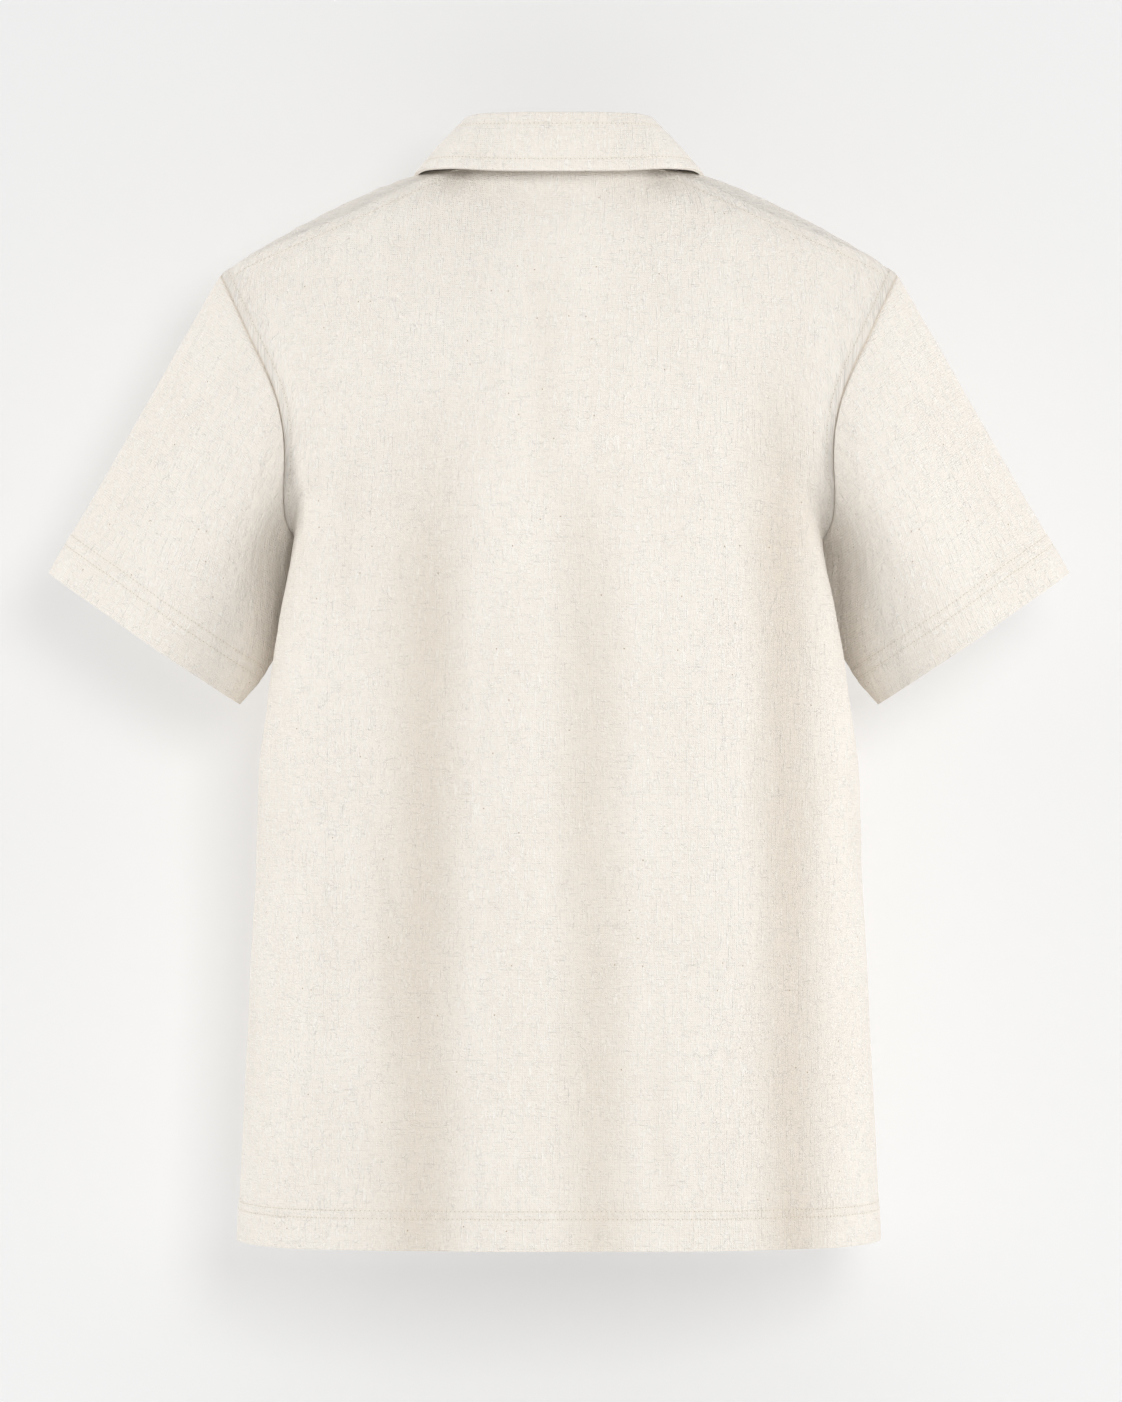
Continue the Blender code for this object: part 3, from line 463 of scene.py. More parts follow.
def between_rows(grid, at, closed=False):
    """A grid's rows at fractional row numbers, on Catmull-Rom curves through its own rows."""
    if closed:
        padded = np.concatenate([grid[-1:], grid, grid[:2]])
    else:
        padded = np.concatenate([2 * grid[:1] - grid[1:2], grid, 2 * grid[-1:] - grid[-2:-1]])
    low = np.minimum(np.floor(at).astype(int), len(padded) - 4)
    t = (at - low).reshape(-1, *[1] * (grid.ndim - 1))
    a, b, c, d = (padded[low + k] for k in range(4))
    return b + t / 2 * (c - a + t * (2 * a - 5 * b + 4 * c - d + t * (3 * (b - c) + d - a)))


def finer(grid, rows_at, columns_at, closed=False):
    rows = between_rows(grid, rows_at)
    return between_rows(rows.swapaxes(0, 1), columns_at, closed).swapaxes(0, 1)


def grid_lines(even, wanted):
    """Even places for grid lines with the wanted ones added, and even ones too near those left out."""
    even, wanted = np.asarray(even), np.asarray(wanted)
    clear = np.abs(even[:, None] - wanted[None, :]).min(axis=1) > LEAST_CELL * (even[1] - even[0])
    clear[[0, -1]] = True
    return np.unique(np.round(np.concatenate([even[clear], wanted]), 5))


def body_lines(side):
    """Row and column places of a fine panel: closer beside the hem, the side seam and the armhole."""
    lower = np.linspace(0, BODY_ROWS, BODY_ROWS * BODY_LINES + 1)
    upper = np.linspace(BODY_ROWS, BODY_ROWS + CHEST_ROWS, CHEST_ROWS * CHEST_LINES + 1)[1:]
    hem = [d / HEM_DEPTH if d < HEM_DEPTH else 1 + (d - HEM_DEPTH) / CELL_BELOW for d in LINES_NEAR_HEM]
    last = BODY_ROWS + CHEST_ROWS
    top = [last - d / CELL_ABOVE for d in LINES_BELOW_SHOULDER]
    rows = grid_lines(np.concatenate([lower, upper]), [*hem, *top])
    neck = NECK_COLUMNS[side]
    out = np.concatenate([
        np.linspace(0, neck, neck * NECK_LINES + 1),
        np.linspace(neck, neck + SHOULDER_COLUMNS, SHOULDER_COLUMNS * SIDE_LINES + 1)[1:],
    ])
    out = grid_lines(out, [neck + SHOULDER_COLUMNS - d / CELL_ACROSS for d in LINES_NEAR_SEAM])
    middle = neck + SHOULDER_COLUMNS
    return rows, np.concatenate([middle - out[::-1], middle + out[1:]])


ripple_random = np.random.default_rng(RIPPLE_SEED)
ripple_across = 2 * np.pi / ripple_random.uniform(*RIPPLE_ACROSS, RIPPLE_WAVES)
ripple_along = 2 * np.pi / ripple_random.uniform(*RIPPLE_ALONG, RIPPLE_WAVES)
ripple_along *= ripple_random.choice([-1, 1], RIPPLE_WAVES)
ripple_phase = ripple_random.uniform(0, 2 * np.pi, RIPPLE_WAVES)


def ripples(across, up):
    """The linen's fine uneven ripples at a place in the cloth, in millimetres."""
    waves = zip(ripple_across, ripple_along, ripple_phase)
    total = sum(np.sin(a * across + b * up + phase) for a, b, phase in waves)
    return total * RIPPLE_HEIGHT * math.sqrt(2 / RIPPLE_WAVES)


def stitched(distance, rows, raise_to=TOPSTITCH_RAISE):
    """Relief beside an edge with stitch rows: raised as far as the last row, and dented at each row."""
    raised = raise_to * (1 - smoothstep((distance - rows[-1]) / RAISED_END))
    dents = sum(STITCH_GROOVE * beside(distance, row, GROOVE_WIDTH) for row in rows)
    return raised - dents


def turned_under(distance):
    """Relief beside a seam, where the cloth turns down into it."""
    return -CLOTH_OUT * (1 - smoothstep(distance / SEAM_TURN))


def row_shade(distance, rows):
    """Shade in the dents of the stitch rows."""
    return ROW_SHADE * sum(beside(distance, row, ROW_SHADE_WIDTH) for row in rows)


def placed(name, data):
    """An object of the scene that shows a mesh, a light or a camera."""
    made = bpy.data.objects.new(name, data)
    bpy.context.scene.collection.objects.link(made)
    return made


def shell(name, outer, inner, cloth, shade, finish):
    """A thin closed sheet between two grids of points, which keeps each point's place in the flat cloth
    and its painted shade: how far its colour is darkened and warmed in folds, seams and stitch rows,
    standing in for light that goes from thread to thread."""
    rows, cols = outer.shape[:2]
    numbers = np.arange(rows * cols).reshape(rows, cols)
    squares = np.stack([numbers[:-1, :-1], numbers[:-1, 1:], numbers[1:, 1:], numbers[1:, :-1]], axis=-1)
    squares = squares.reshape(-1, 4)
    under = rows * cols
    rims = (numbers[0], numbers[-1][::-1], numbers[::-1, 0], numbers[:, -1])
    edges = [np.stack([rim[1:], rim[:-1], rim[:-1] + under, rim[1:] + under], axis=-1) for rim in rims]
    faces = np.concatenate([squares, squares[:, ::-1] + under, *edges])
    points = np.concatenate([outer.reshape(-1, 3), inner.reshape(-1, 3)]) * MM
    mesh = bpy.data.meshes.new(name)
    mesh.from_pydata(points.tolist(), [], faces.tolist())
    place = np.tile(cloth.reshape(-1, 2), (2, 1))[faces.ravel()] * MM
    mesh.uv_layers.new(name="cloth").uv.foreach_set("vector", place.ravel())
    painted_shade = np.tile(np.clip(shade, 0, 1).ravel(), 2)
    mesh.attributes.new("painted_shade", "FLOAT", "POINT").data.foreach_set("value", painted_shade)
    mesh.materials.append(finish)
    mesh.shade_smooth()
    mesh.set_sharp_from_angle(angle=math.radians(50))
    return placed(name, mesh)


def outer_side(middle, facing, height):
    """A panel's outer side at a height over its middle, and the way out of it."""
    outward = normals_of(middle) * -facing
    return middle + outward * height[..., None], outward


def panel_shell(name, middle, facing, relief, cloth, shade, base=CLOTH_OUT, under=CLOTH_IN):
    """A panel's sheet: the relief stands on its outer side and shows faintly inside."""
    outer, outward = outer_side(middle, facing, base + relief)
    inner = middle + outward * (np.minimum(relief, 0) - under)[..., None]
    if facing > 0:
        outer, inner, cloth, shade = (values[:, ::-1] for values in (outer, inner, cloth, shade))
    return shell(name, outer, inner, cloth, shade, linen)


def cloth_places(middle):
    """Each point's place in the flat cloth: across from the centre line, and up from the hem."""
    centre = middle.shape[1] // 2
    across = run_along(middle)
    up = run_up(middle)
    return np.stack([across - across[:, centre : centre + 1], up], axis=-1)


def side_distance(middle):
    """Each point's distance along its row from the nearer side edge."""
    run = run_along(middle)
    return np.minimum(run, run[:, -1:] - run)


def body_relief(middle, cloth, creases):
    """Hem, side seams, armholes, creases and ripples of a whole back or front."""
    from_side, up = side_distance(middle), cloth[..., 1]
    total_up = up[-1:, :]
    at_arm = smoothstep((middle[..., 2] - UNDERARM_Z) / ARM_START)
    relief = stitched(from_side, (TOPSTITCH,)) * at_arm
    relief += stitched(up, HEM_STITCHES, HEM_RAISE)
    relief += crease_height(creases, middle[..., 0], middle[..., 2])
    free = smoothstep(from_side / RIPPLE_FREE.side) * smoothstep(up / RIPPLE_FREE.hem)
    free *= smoothstep((total_up - up) / RIPPLE_FREE.top)
    relief += ripples(cloth[..., 0], up) * (RIPPLE_HELD + (1 - RIPPLE_HELD) * free)
    under = turned_under(from_side)
    under[np.broadcast_to(at_arm > 0, under.shape)] *= EDGE_SHARE
    return relief + np.minimum(under, turned_under(total_up - up))


def body_shade(middle, cloth, folds, creases):
    """Shade in the folds, seams and stitch rows of a whole back or front."""
    x, z, from_side, up = middle[..., 0], middle[..., 2], side_distance(middle), cloth[..., 1]
    at_arm = smoothstep((z - UNDERARM_Z) / ARM_START)
    free = smoothstep(from_side / FOLD_SHADE_FREE)
    shade = FOLD_SHADE * np.maximum(-fold_height(folds, x, z), 0) * free
    shade += CREASE_SHADE * np.maximum(-crease_height(creases, x, z), 0)
    shade += row_shade(from_side, (TOPSTITCH,)) * at_arm + row_shade(up, HEM_STITCHES)
    return shade + SEAM_SHADE * beside(from_side, 0, SEAM_SHADE_WIDTH) * at_arm


back_rows, back_columns = body_lines("back")
back_middle = finer(folded(eased(whole(half_panel("back"))), BACK_FOLDS, 1), back_rows, back_columns)
back_cloth = cloth_places(back_middle)
back_relief = body_relief(back_middle, back_cloth, BACK_CREASES)
back_shade = body_shade(back_middle, back_cloth, BACK_FOLDS, BACK_CREASES)
seam_down = back_cloth[-1:, :, 1] - back_cloth[..., 1]
shoulder = smoothstep((np.abs(back_middle[-1:, :, 0]) - NECK_HALF - 4) / 6.0)
back_relief += stitched(seam_down, (SHOULDER_STITCH,)) * shoulder
back_shade += row_shade(seam_down, (SHOULDER_STITCH,)) * shoulder


def linear(hex_colour):
    """An sRGB hex colour as the linear colour that a shader takes."""
    parts = [int(hex_colour[i : i + 2], 16) / 255 for i in (1, 3, 5)]
    return (*(p / 12.92 if p <= 0.04045 else ((p + 0.055) / 1.055) ** 2.4 for p in parts), 1)


def add_node(tree, kind, settings, inputs):
    """Adds a node with its settings, and gives each input a value or a link from another node's output."""
    node = tree.nodes.new(kind)
    for name, value in settings.items():
        setattr(node, name, value)
    for name, value in inputs.items():
        if isinstance(value, bpy.types.NodeSocket):
            tree.links.new(value, node.inputs[name])
        else:
            node.inputs[name].default_value = value
    return node


def new_material(name):
    """A material with its node tree and its surface shader."""
    made = bpy.data.materials.new(name)
    made.use_nodes = True
    return made, made.node_tree, made.node_tree.nodes["Principled BSDF"]


def slubbed_linen():
    """Plain-woven linen from slubbed yarn, half bleached, washed and hung to dry.

    Thick places in the yarn show as pale streaks down and across, bits of flax husk as brown specks,
    and the wash leaves a net of fine creases. The surface is matt with a faint fuzz. Real threads lie
    0.5 mm apart, and are drawn at 1.5 mm so that the weave shows at all.
    """
    made, tree, shader = new_material("slubbed_linen")
    place = add_node(tree, "ShaderNodeUVMap", {"uv_map": "cloth"}, {}).outputs["UV"]

    def yarn_marks(across_mm, along_mm, low, high):
        """Uneven marks of a size across and along the warp, of which only the strongest are left."""
        size = (1 / (across_mm * MM), 1 / (along_mm * MM), 1)
        laid = add_node(tree, "ShaderNodeMapping", {"vector_type": "POINT"}, {0: place, 3: size}).outputs[0]
        uneven = add_node(
            tree, "ShaderNodeTexNoise", {"noise_dimensions": "2D"},
            {"Vector": laid, "Scale": 1.0, "Detail": 2.5, "Roughness": 0.6},
        ).outputs[0]
        return add_node(
            tree, "ShaderNodeMapRange", {"interpolation_type": "SMOOTHSTEP"},
            {0: uneven, 1: low, 2: high, 3: 0.0, 4: 1.0},
        ).outputs[0]

    warp_slubs = yarn_marks(1.5, 14.0, 0.50, 0.74)
    weft_slubs = yarn_marks(11.0, 1.4, 0.54, 0.78)
    ripple = yarn_marks(6.0, 50.0, 0.25, 0.75)
    cloud = yarn_marks(46.0, 80.0, 0.28, 0.72)
    mottle = yarn_marks(1.8, 2.2, 0.25, 0.75)
    creased_here = yarn_marks(7.0, 12.0, 0.44, 0.60)

    wander = add_node(
        tree, "ShaderNodeTexNoise", {"noise_dimensions": "2D"},
        {"Vector": place, "Scale": 1 / (CREASE_CELL * MM), "Detail": 2.0},
    ).outputs["Color"]
    strayed = add_node(
        tree, "ShaderNodeVectorMath", {"operation": "MULTIPLY_ADD"},
        {0: wander, 1: (CREASE_STRAY * MM,) * 3, 2: place},
    ).outputs[0]
    net = add_node(
        tree, "ShaderNodeTexVoronoi", {"voronoi_dimensions": "2D", "feature": "DISTANCE_TO_EDGE"},
        {"Vector": strayed, "Scale": 1 / (CREASE_CELL * MM), "Randomness": 1.0},
    ).outputs["Distance"]
    on_net = add_node(
        tree, "ShaderNodeMapRange", {"interpolation_type": "SMOOTHSTEP"},
        {0: net, 1: 0.0, 2: 0.12, 3: 1.0, 4: 0.0},
    ).outputs[0]
    creases = add_node(
        tree, "ShaderNodeMath", {"operation": "MULTIPLY"}, {0: on_net, 1: creased_here}
    ).outputs[0]

    husks = add_node(
        tree, "ShaderNodeTexVoronoi", {"voronoi_dimensions": "2D"},
        {"Vector": place, "Scale": 1 / (HUSK_CELL * MM), "Randomness": 1.0},
    )
    near_husk = add_node(
        tree, "ShaderNodeMapRange", {},
        {0: husks.outputs["Distance"], 1: HUSK_RADIUS[0], 2: HUSK_RADIUS[1], 3: 1.0, 4: 0.0},
    ).outputs[0]
    chosen = add_node(
        tree, "ShaderNodeMath", {"operation": "GREATER_THAN"}, {0: husks.outputs["Color"], 1: 1 - HUSK_SHARE}
    ).outputs[0]
    husk = add_node(tree, "ShaderNodeMath", {"operation": "MULTIPLY"}, {0: near_husk, 1: chosen}).outputs[0]

    threads = []
    for direction in ("X", "Y"):
        threads.append(add_node(
            tree, "ShaderNodeTexWave", {"wave_type": "BANDS", "bands_direction": direction},
            {"Vector": place, "Scale": 2 * math.pi / 20 / (THREADS_DRAWN * MM), "Distortion": 1.4,
             "Detail": 2.0, "Detail Scale": 0.6},
        ).outputs["Fac"])
    weave = add_node(
        tree, "ShaderNodeMath", {"operation": "MULTIPLY"}, {0: threads[0], 1: threads[1]}
    ).outputs[0]

    colour = linear("#ECE4D9")
    for where, tint in (
        (cloud, "#F3EDE4"), (mottle, "#F2EBE1"), (weave, "#F6F1E9"), (warp_slubs, "#F9F5EE"),
        (weft_slubs, "#F7F2EB"), (creases, "#F6F1EA"), (husk, "#BBA68D"),
    ):
        layer = add_node(
            tree, "ShaderNodeMix", {"data_type": "RGBA", "clamp_result": True},
            {0: where, 6: colour, 7: linear(tint)},
        )
        colour = layer.outputs[2]
    # Painted shade: the colour is multiplied towards a warm brown by the painted_shade attribute, in folds,
    # seams and stitch rows.
    painted_shade = add_node(tree, "ShaderNodeAttribute", {"attribute_name": "painted_shade"}, {}).outputs["Fac"]
    painted_shade_colour = add_node(
        tree, "ShaderNodeMix", {"data_type": "RGBA", "blend_type": "MULTIPLY"},
        {0: painted_shade, 6: colour, 7: linear("#D3C6B4")},
    ).outputs[2]
    tree.links.new(painted_shade_colour, shader.inputs["Base Color"])

    height = weave
    for where, share in ((warp_slubs, 1.2), (weft_slubs, 1.0), (ripple, 1.2), (mottle, 1.2), (creases, 1.1)):
        height = add_node(
            tree, "ShaderNodeMath", {"operation": "MULTIPLY_ADD"}, {0: where, 1: share, 2: height}
        ).outputs[0]
    bump = add_node(
        tree, "ShaderNodeBump", {}, {"Strength": 1.0, "Distance": YARN_RELIEF * MM, "Height": height}
    )
    tree.links.new(bump.outputs[0], shader.inputs["Normal"])
    shader.inputs["Roughness"].default_value = 0.9
    shader.inputs["IOR"].default_value = 1.5
    shader.inputs["Specular IOR Level"].default_value = 0.2
    shader.inputs["Sheen Weight"].default_value = 0.1
    shader.inputs["Sheen Roughness"].default_value = 0.6
    return made


linen = slubbed_linen()
back_piece = panel_shell("back_cloth", back_middle, 1, back_relief, back_cloth, back_shade)

# Sewing thread: polyester-cotton, spun and twisted, in the cloth's own pale shade.
# It lies on the cloth in short even stitches, 2.5 mm long, pulled a little into it at each end.
STITCH_PITCH = 3.0
STITCH_LENGTH = 2.5
THREAD = 0.5
HOLE_RADIUS = 0.36
STITCH_RINGS = ((-0.5, 0.35, -0.5), (-0.3, 0.9, 0.25), (0.3, 0.9, 0.25), (0.5, 0.35, -0.5))
HOLE_RINGS = ((-0.5, 0.4, 0), (0.12, 1.0, 0), (0.24, 0.5, 0))
STITCH_SIDES = 5


def spun_thread():
    """Matt thread with its twist drawn as a fine slanting wave."""
    made, tree, shader = new_material("spun_thread")
    place = add_node(tree, "ShaderNodeTexCoord", {}, {}).outputs["Object"]
    twist = add_node(
        tree, "ShaderNodeTexWave", {"bands_direction": "DIAGONAL"}, {"Vector": place, "Scale": 900.0}
    )
    tone = add_node(
        tree, "ShaderNodeMix", {"data_type": "RGBA"},
        {0: twist.outputs["Fac"], 6: linear("#E4DDD0"), 7: linear("#F4EFE5")},
    )
    tree.links.new(tone.outputs[2], shader.inputs["Base Color"])
    bump = add_node(
        tree, "ShaderNodeBump", {}, {"Strength": 0.5, "Distance": 0.00005, "Height": twist.outputs["Fac"]}
    )
    tree.links.new(bump.outputs[0], shader.inputs["Normal"])
    shader.inputs["Roughness"].default_value = 0.6
    return made


thread = spun_thread()


def linen_hole_shade():
    """Dark linen-toned discs of painted shade, for the needle holes and the buttonhole slits."""
    made, tree, shader = new_material("linen_hole_shade")
    uneven = add_node(tree, "ShaderNodeTexNoise", {}, {"Scale": 1 / (4 * MM)}).outputs[0]
    tone = add_node(
        tree, "ShaderNodeMix", {"data_type": "RGBA"}, {0: uneven, 6: linear("#BDAE97"), 7: linear("#D3C7B4")}
    )
    tree.links.new(tone.outputs[2], shader.inputs["Base Color"])
    shader.inputs["Roughness"].default_value = 0.9
    return made


painted_hole_shade = linen_hole_shade()


def rings_of(centre, ahead, up, profile, length, width):
    """Points and faces of small turned shapes, one at each centre: the profile's rings, with flat ends."""
    side = unit(np.cross(ahead, up))
    turns = 2 * np.pi * np.arange(STITCH_SIDES) / STITCH_SIDES
    points = []
    for way, wide, lift in profile:
        ring = centre + ahead * way * length + up * lift * width
        points.extend(ring + (side * math.cos(turn) + up * math.sin(turn)) * wide * width for turn in turns)
    sides, rings = STITCH_SIDES, len(profile)
    faces = [
        (r * sides + k, r * sides + (k + 1) % sides, (r + 1) * sides + (k + 1) % sides, (r + 1) * sides + k)
        for r in range(rings - 1)
        for k in range(sides)
    ]
    caps = [tuple(range(sides))[::-1], tuple(range((rings - 1) * sides, rings * sides))]
    return np.stack(points, axis=1), faces + caps


def places_on(path, outward, at):
    """Points at running lengths of a path, the way ahead and the way out there."""
    run = run_along(path)
    centre, before, after, up = (
        np.stack([np.interp(np.clip(at + shift, 0, run[-1]), run, values[:, k]) for k in range(3)], axis=-1)
        for values, shift in ((path, 0), (path, -1), (path, 1), (outward, 0))
    )
    return centre, unit(after - before), unit(up)


def row_of_stitches(path, outward):
    """The stitches of a row, and dark discs of painted shade at the needle's holes between them."""
    length = run_along(path)[-1]
    count = int(length / STITCH_PITCH)
    middles = (np.arange(count) + 0.5) * length / count
    holes = np.arange(1, count) * length / count
    sewn = rings_of(*places_on(path, outward, middles), STITCH_RINGS, STITCH_LENGTH, THREAD / 2)
    centre, ahead, up = places_on(path, outward, holes)
    hole_shade_discs = rings_of(centre, up, ahead, HOLE_RINGS, HOLE_RADIUS, HOLE_RADIUS)
    return sewn, hole_shade_discs


def sewn_piece(name, groups):
    """One piece of many small shapes: groups of points and faces, each with its material's number."""
    points, faces, finishes = [], [], []
    for (made, shape), finish in groups:
        for one in made:
            base = len(points)
            points.extend(one.tolist())
            faces.extend(tuple(base + i for i in face) for face in shape)
        finishes.extend([finish] * len(shape) * len(made))
    mesh = bpy.data.meshes.new(name)
    mesh.from_pydata((np.array(points) * MM).tolist(), [], faces)
    mesh.materials.append(thread)
    mesh.materials.append(painted_hole_shade)
    mesh.polygons.foreach_set("material_index", finishes)
    mesh.shade_smooth()
    sewn = placed(name, mesh)
    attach(sewn, "root")
    return sewn


def stitching(name, rows):
    """One piece of all the stitch rows on a sheet of cloth, with their painted-shade hole discs."""
    groups = []
    for path, outward in rows:
        sewn, holes = row_of_stitches(path, outward)
        groups += [(sewn, 0), (holes, 1)]
    return sewn_piece(name, groups)


def line_at(points, outward, distance, level):
    """The path across a grid where each row reaches a level of its distance, and the way out there."""
    def crossing(values):
        return np.array(
            [[np.interp(level, d, row[:, k]) for k in range(3)] for d, row in zip(distance, values)]
        )
    return crossing(points), crossing(outward)


def hem_rows(outer, outward, up):
    """The two stitch rows of the hem, right across a panel."""
    across = (outer.swapaxes(0, 1), outward.swapaxes(0, 1), up.swapaxes(0, 1))
    return [line_at(*across, level) for level in HEM_STITCHES]


def armhole_rows(outer, outward, from_left, in_arm):
    """The topstitch row inside each armhole of a panel."""
    rows = []
    for points, ways, run in (
        (outer, outward, from_left),
        (outer[:, ::-1], outward[:, ::-1], (from_left[:, -1:] - from_left)[:, ::-1]),
    ):
        rows.append(line_at(points[in_arm], ways[in_arm], run[in_arm], TOPSTITCH))
    return rows


def shoulder_rows(outer, outward, down, x_top):
    """The topstitch row below each shoulder seam, from the neck out to the armhole's own row."""
    rows = []
    for side in (1, -1):
        on_side = (x_top * side > NECK_HALF + 8) & (x_top * side < SHOULDER_SEAM[-1].x - TOPSTITCH)
        columns = (values[::-1, on_side].swapaxes(0, 1) for values in (outer, outward, down))
        rows.append(line_at(*columns, SHOULDER_STITCH))
    return rows


back_surface, back_outward = outer_side(back_middle, 1, CLOTH_OUT + back_relief)
back_sewing = stitching(
    "back_stitching",
    hem_rows(back_surface, back_outward, back_cloth[..., 1])
    + armhole_rows(back_surface, back_outward, run_along(back_middle), back_rows > BODY_ROWS)
    + shoulder_rows(back_surface, back_outward, seam_down, back_middle[-1, :, 0]),
)
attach(back_piece, "root")
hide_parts("back")

# The two fronts are the same cloth on the chest, and close a little past each other. The wearer's left
# front ends at the placket's far edge. The right one steps down under the placket and ends past the centre.
UNDERLAP = 14.0
STEP_START = 26.0
STEP_END = 16.0
UNDER_STEP = 1.5
FRONT_FOLDS = (
    Fold(144, 156, -170, -700, 20, -3.5),
    Fold(104, 112, -130, -700, 22, 3.0),
    Fold(62, 70, -180, -700, 20, -3.0),
    Fold(-66, -60, -170, -700, 20, -2.5),
    Fold(-106, -112, -120, -700, 24, 3.0),
    Fold(-140, -148, -190, -700, 20, -4.0),
)
FRONT_CREASES = (
    Fold(122, 112, -220, -400, 8, -0.8),
    Fold(88, 96, -380, -640, 8, 0.8),
    Fold(46, 40, -150, -330, 9, -0.7),
    Fold(-44, -50, -260, -480, 8, 0.8),
    Fold(-88, -80, -420, -680, 7, -0.8),
    Fold(-124, -132, -200, -360, 9, 0.9),
    Fold(150, 158, -480, -724, 8, 0.8),
    Fold(-160, -166, -420, -600, 8, -0.7),
)
MID_FRONT = NECK_COLUMNS["front"] + SHOULDER_COLUMNS

front_grid = folded(
    eased(whole(half_panel("front")), [MID_FRONT - 1, MID_FRONT, MID_FRONT + 1]), FRONT_FOLDS, -1
)
front_rows, front_columns = body_lines("front")
front_middle = finer(front_grid, front_rows, front_columns)
front_cloth = cloth_places(front_middle)
front_relief = body_relief(front_middle, front_cloth, FRONT_CREASES)
front_shade = body_shade(front_middle, front_cloth, FRONT_FOLDS, FRONT_CREASES)


def front_piece(side, name, kept, level):
    """One front with its stitching: the kept columns of the whole, moved out of the chest by level."""
    middle = front_middle[:, kept] + (normals_of(front_middle) * level[..., None])[:, kept]
    relief, cloth = front_relief[:, kept], front_cloth[:, kept]
    made = panel_shell(name, middle, -1, relief, cloth, front_shade[:, kept])
    surface, outward = outer_side(middle, -1, CLOTH_OUT + relief)
    run, in_arm = run_along(middle), front_rows > BODY_ROWS
    if side > 0:
        surface_in, outward_in, run_in = surface[:, ::-1], outward[:, ::-1], (run[:, -1:] - run)[:, ::-1]
    else:
        surface_in, outward_in, run_in = surface, outward, run
    rows = hem_rows(surface, outward, cloth[..., 1])
    rows.append(line_at(surface_in[in_arm], outward_in[in_arm], run_in[in_arm], TOPSTITCH))
    sewing = stitching(name.replace("cloth", "stitching"), rows)
    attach(made, "root")
    return made, sewing


level_ground = np.zeros_like(front_relief)
front_left, front_left_sewing = front_piece(
    1, "front_left_cloth", front_columns >= MID_FRONT + 1, level_ground
)
step_down = -UNDER_STEP * smoothstep((front_middle[..., 0] + STEP_START) / (STEP_START - STEP_END))
under_end = MID_FRONT + UNDERLAP / PLACKET_HALF
front_right, front_right_sewing = front_piece(-1, "front_right_cloth", front_columns <= under_end, step_down)
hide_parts("front_left")
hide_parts("front_right")

# The placket is a straight doubled strip down the left front's edge, which carries the buttonholes.
# It is folded from the same cloth, and is stitched 5 mm inside each of its long edges.
PLACKET_OUT = 1.4
PLACKET_IN = 0.5
PLACKET_LINES = 33
PLACKET_STITCH = 5.0
EDGE_TURN = 0.9
EDGE_ROUND = 0.5
PLACKET_PATTERN_X = 90.0
DOUBLED_RIPPLE = 0.5

placket_middle = finer(front_grid, front_rows, np.linspace(MID_FRONT - 1, MID_FRONT + 1, PLACKET_LINES))
placket_cloth = cloth_places(placket_middle)
placket_in = side_distance(placket_middle)
placket_up = placket_cloth[..., 1]
placket_relief = -EDGE_ROUND * (1 - smoothstep(placket_in / EDGE_TURN))
placket_relief -= STITCH_GROOVE * beside(placket_in, PLACKET_STITCH, GROOVE_WIDTH)
placket_relief += ripples(placket_cloth[..., 0] + PLACKET_PATTERN_X, placket_up) * DOUBLED_RIPPLE
placket_piece = panel_shell(
    "placket_strip", placket_middle, -1, placket_relief, placket_cloth,
    row_shade(placket_in, (PLACKET_STITCH,)), PLACKET_OUT, PLACKET_IN,
)
placket_surface, placket_outward = outer_side(placket_middle, -1, PLACKET_OUT + placket_relief)
placket_run = run_along(placket_middle)
placket_sewing = stitching("placket_stitching", [
    line_at(placket_surface, placket_outward, placket_run, PLACKET_STITCH),
    line_at(placket_surface, placket_outward, placket_run, 2 * PLACKET_HALF - PLACKET_STITCH),
])
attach(placket_piece, "root")
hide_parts("placket")

# Each sleeve is cut in one piece, with its seam under the arm, and set into the armhole.
# It stands off the body and opens a little to the cuff, which is turned up in a hem with two stitch rows.
CUFF_TOP = (339.5, -281.0)
CUFF_UNDER = (213.5, -367.5)
CUFF_HALF_DEPTH = 48.0
CUFF_HEM_DEPTH = 31.0
CUFF_STITCHES = (22.0, 29.5)
SleevePull = namedtuple("SleevePull", "turn start_x start_y start_z end_x end_y end_z")
SLEEVE_PULLS = (
    SleevePull(0, 115, 0, -197, 115, 0, -197),
    SleevePull(50, 98, 30, -186, 104, -8, -175),
    SleevePull(90, 86, 48, -172, 100, -14, -160),
    SleevePull(135, 100, 30, -100, 92, -10, -118),
    SleevePull(160, 56, 10, -82, 92, -4, -98),
    SleevePull(180, 24, 0, -84, 92, 0, -90),
)
FRONT_FULLNESS = 0.92
SLEEVE_ROWS = 9
SLEEVE_LINES = 8
SEAM_LINES = (0.02, 0.06)
CUFF_HEM_LINES = 21
SLEEVE_SHADE = 0.26
SLEEVE_SHADE_TURN = 58.0
SLEEVE_HELD = 0.4
SLEEVE_PATTERN_X = 400.0
SleeveFold = namedtuple("SleeveFold", "turn_top turn_low width height")
SLEEVE_FOLDS = (
    SleeveFold(48, 62, 15, -3.5),
    SleeveFold(88, 96, 17, 3.0),
    SleeveFold(-52, -66, 16, -3.0),
    SleeveFold(-92, -100, 18, 2.5),
)
SLEEVE_FOLD_RISE = 0.35
SLEEVE_FOLD_EASE = 0.4
SLEEVE_EASE_RUN = 0.3


